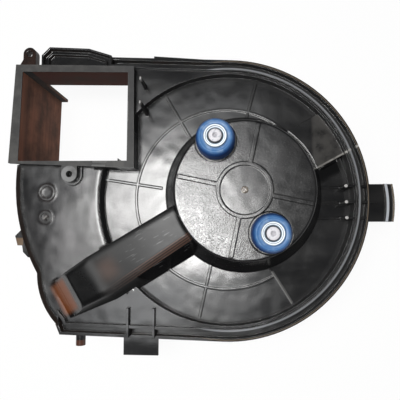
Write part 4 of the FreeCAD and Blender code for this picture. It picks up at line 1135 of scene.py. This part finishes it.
blue_rubber = bush_material()
dress(["mount_bush_upper", "mount_bush_lower"], blue_rubber)
for label in ("upper", "lower"):
    node_name = "mount_bush_" + label
    low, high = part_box(node_name)
    spot = ((low.x + high.x) / 2, (low.y + high.y) / 2)
    profile = [(radius, low.z + height) for radius, height in bush_profile]
    bush = finished(lathe("bush", profile, bush_sides, spot), "blue_bush_" + label, bush_crease)
    bush.data.materials.append(blue_rubber)
    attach(bush, "housing")
    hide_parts(node_name)

# Mount fixings: a dished washer and a low round-headed screw with a hexagon
# socket on each bush, pressed and headed in steel and plated with zinc.
washer_profile = ((0.0027, 0.0), (0.0092, 0.0), (0.0092, 0.0018), (0.0089, 0.0023),
                  (0.0080, 0.0023), (0.0076, 0.0019), (0.0073, 0.0009), (0.0027, 0.0009))
head_profile = ((0.0, 0.0012), (0.0056, 0.0012), (0.0056, 0.0022), (0.0052, 0.0029),
                (0.0044, 0.0034), (0.0030, 0.0037), (0.0022, 0.0037), (0.0019, 0.0034),
                (0.0018, 0.0018), (0.0, 0.0016))
shank_profile = ((0.0, -0.0345), (0.0025, -0.0345), (0.0025, 0.0014), (0.0, 0.0014))
washer_sides = 64
head_sides = 48
shank_sides = 24
fixing_edge = 0.0003
zinc_highlight = (0.78, 0.83, 0.88)
grey_zinc = (0.115, 0.165, 0.215)
dark_zinc = (0.030, 0.033, 0.040)
head_zinc = (0.60, 0.585, 0.615)


def fixing_material(places):
    """Zinc plate in rings round each screw: a rim and a step painted bright as highlights
    on a grey dish, a dark joint and a greyer head with painted shade in its socket."""
    material, tree, shader = new_material("washer_zinc")
    place, x, y = object_axes(tree)[:3]
    reach = math_node("MINIMUM", distance_from(x, y, places[0]), distance_from(x, y, places[1]))
    patch = noise(place, 500.0, 4.0)
    # Painted highlights on the rim and the step.
    rings = math_node("ADD", between(reach, 0.0067, 0.0074, 0.0002),
                      between(reach, 0.0077, 0.0087, 0.0002))
    base = colour_mix(rings, grey_zinc, zinc_highlight)
    base = colour_mix(fade(reach, 0.0063, 0.0060), base, dark_zinc)
    head = colour_mix(fade(patch, 0.50, 0.75, 0.0, 0.6), head_zinc, grey_zinc)
    base = colour_mix(fade(reach, 0.0052, 0.0049), base, head)
    # Painted shade in the hex socket.
    base = colour_mix(fade(reach, 0.0019, 0.0013, 0.0, 0.45), base, dark_zinc)
    shader.inputs["Metallic"].default_value = 0.02
    shader.inputs["Specular IOR Level"].default_value = 0.22
    normal = rounded_edges(tree, fixing_edge)[0]
    set_skin(shader, base, math_node("MULTIPLY_ADD", patch, 0.20, 0.45),
             bumped(normal, noise(place, 1200.0, 3.0), 0.12, 0.0001))
    return material


def pair_pattern(material):
    """Geometry Nodes tree: sets a piece on two spots, given as a start and a step."""
    tree, entry, copies = pattern_tree("pair_pattern", {"Start": "NodeSocketVector",
                                                        "Step": "NodeSocketVector"}, material)
    line = tree.nodes.new("GeometryNodeMeshLine")
    line.mode = "OFFSET"
    line.inputs["Count"].default_value = 2
    plug(line.inputs["Start Location"], entry.outputs["Start"])
    plug(line.inputs["Offset"], entry.outputs["Step"])
    plug(copies.inputs["Points"], line.outputs[0])
    return tree


def bush_centre(node_name):
    """Middle of a mount's top."""
    low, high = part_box(node_name)
    return Vector(((low.x + high.x) / 2, (low.y + high.y) / 2, high.z))


first_spot = bush_centre("mount_bush_upper")
second_spot = bush_centre("mount_bush_lower")
washer_zinc = fixing_material((first_spot, second_spot))
spots = {"Start": tuple(first_spot), "Step": tuple(second_spot - first_spot)}
two_spots = pair_pattern(washer_zinc)
washers = repeated(lathe("washer", washer_profile, washer_sides), two_spots, spots,
                   "dished_washers")
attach(washers, "housing")
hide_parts("mount_washers")
heads = repeated(lathe("screw_head", head_profile, head_sides), two_spots, spots, "screw_heads")
shanks = repeated(lathe("screw_shank", shank_profile, shank_sides), two_spots, spots,
                  "screw_shanks")
screws = joined("mount_screw_pair", [heads, shanks])
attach(screws, "housing")
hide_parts("mount_screws")

# Supply socket: a black shroud pushed in under the hood, with two tinned brass
# blades standing in it.
blade_brass = (0.55, 0.48, 0.34)
dress(["connector_socket"], wheel_nylon)
dress(["terminal_blades"], metal_material("tinned_brass", blade_brass, 0.25, 0.45, 300.0))

bpy.context.scene.view_settings.view_transform = "Standard"
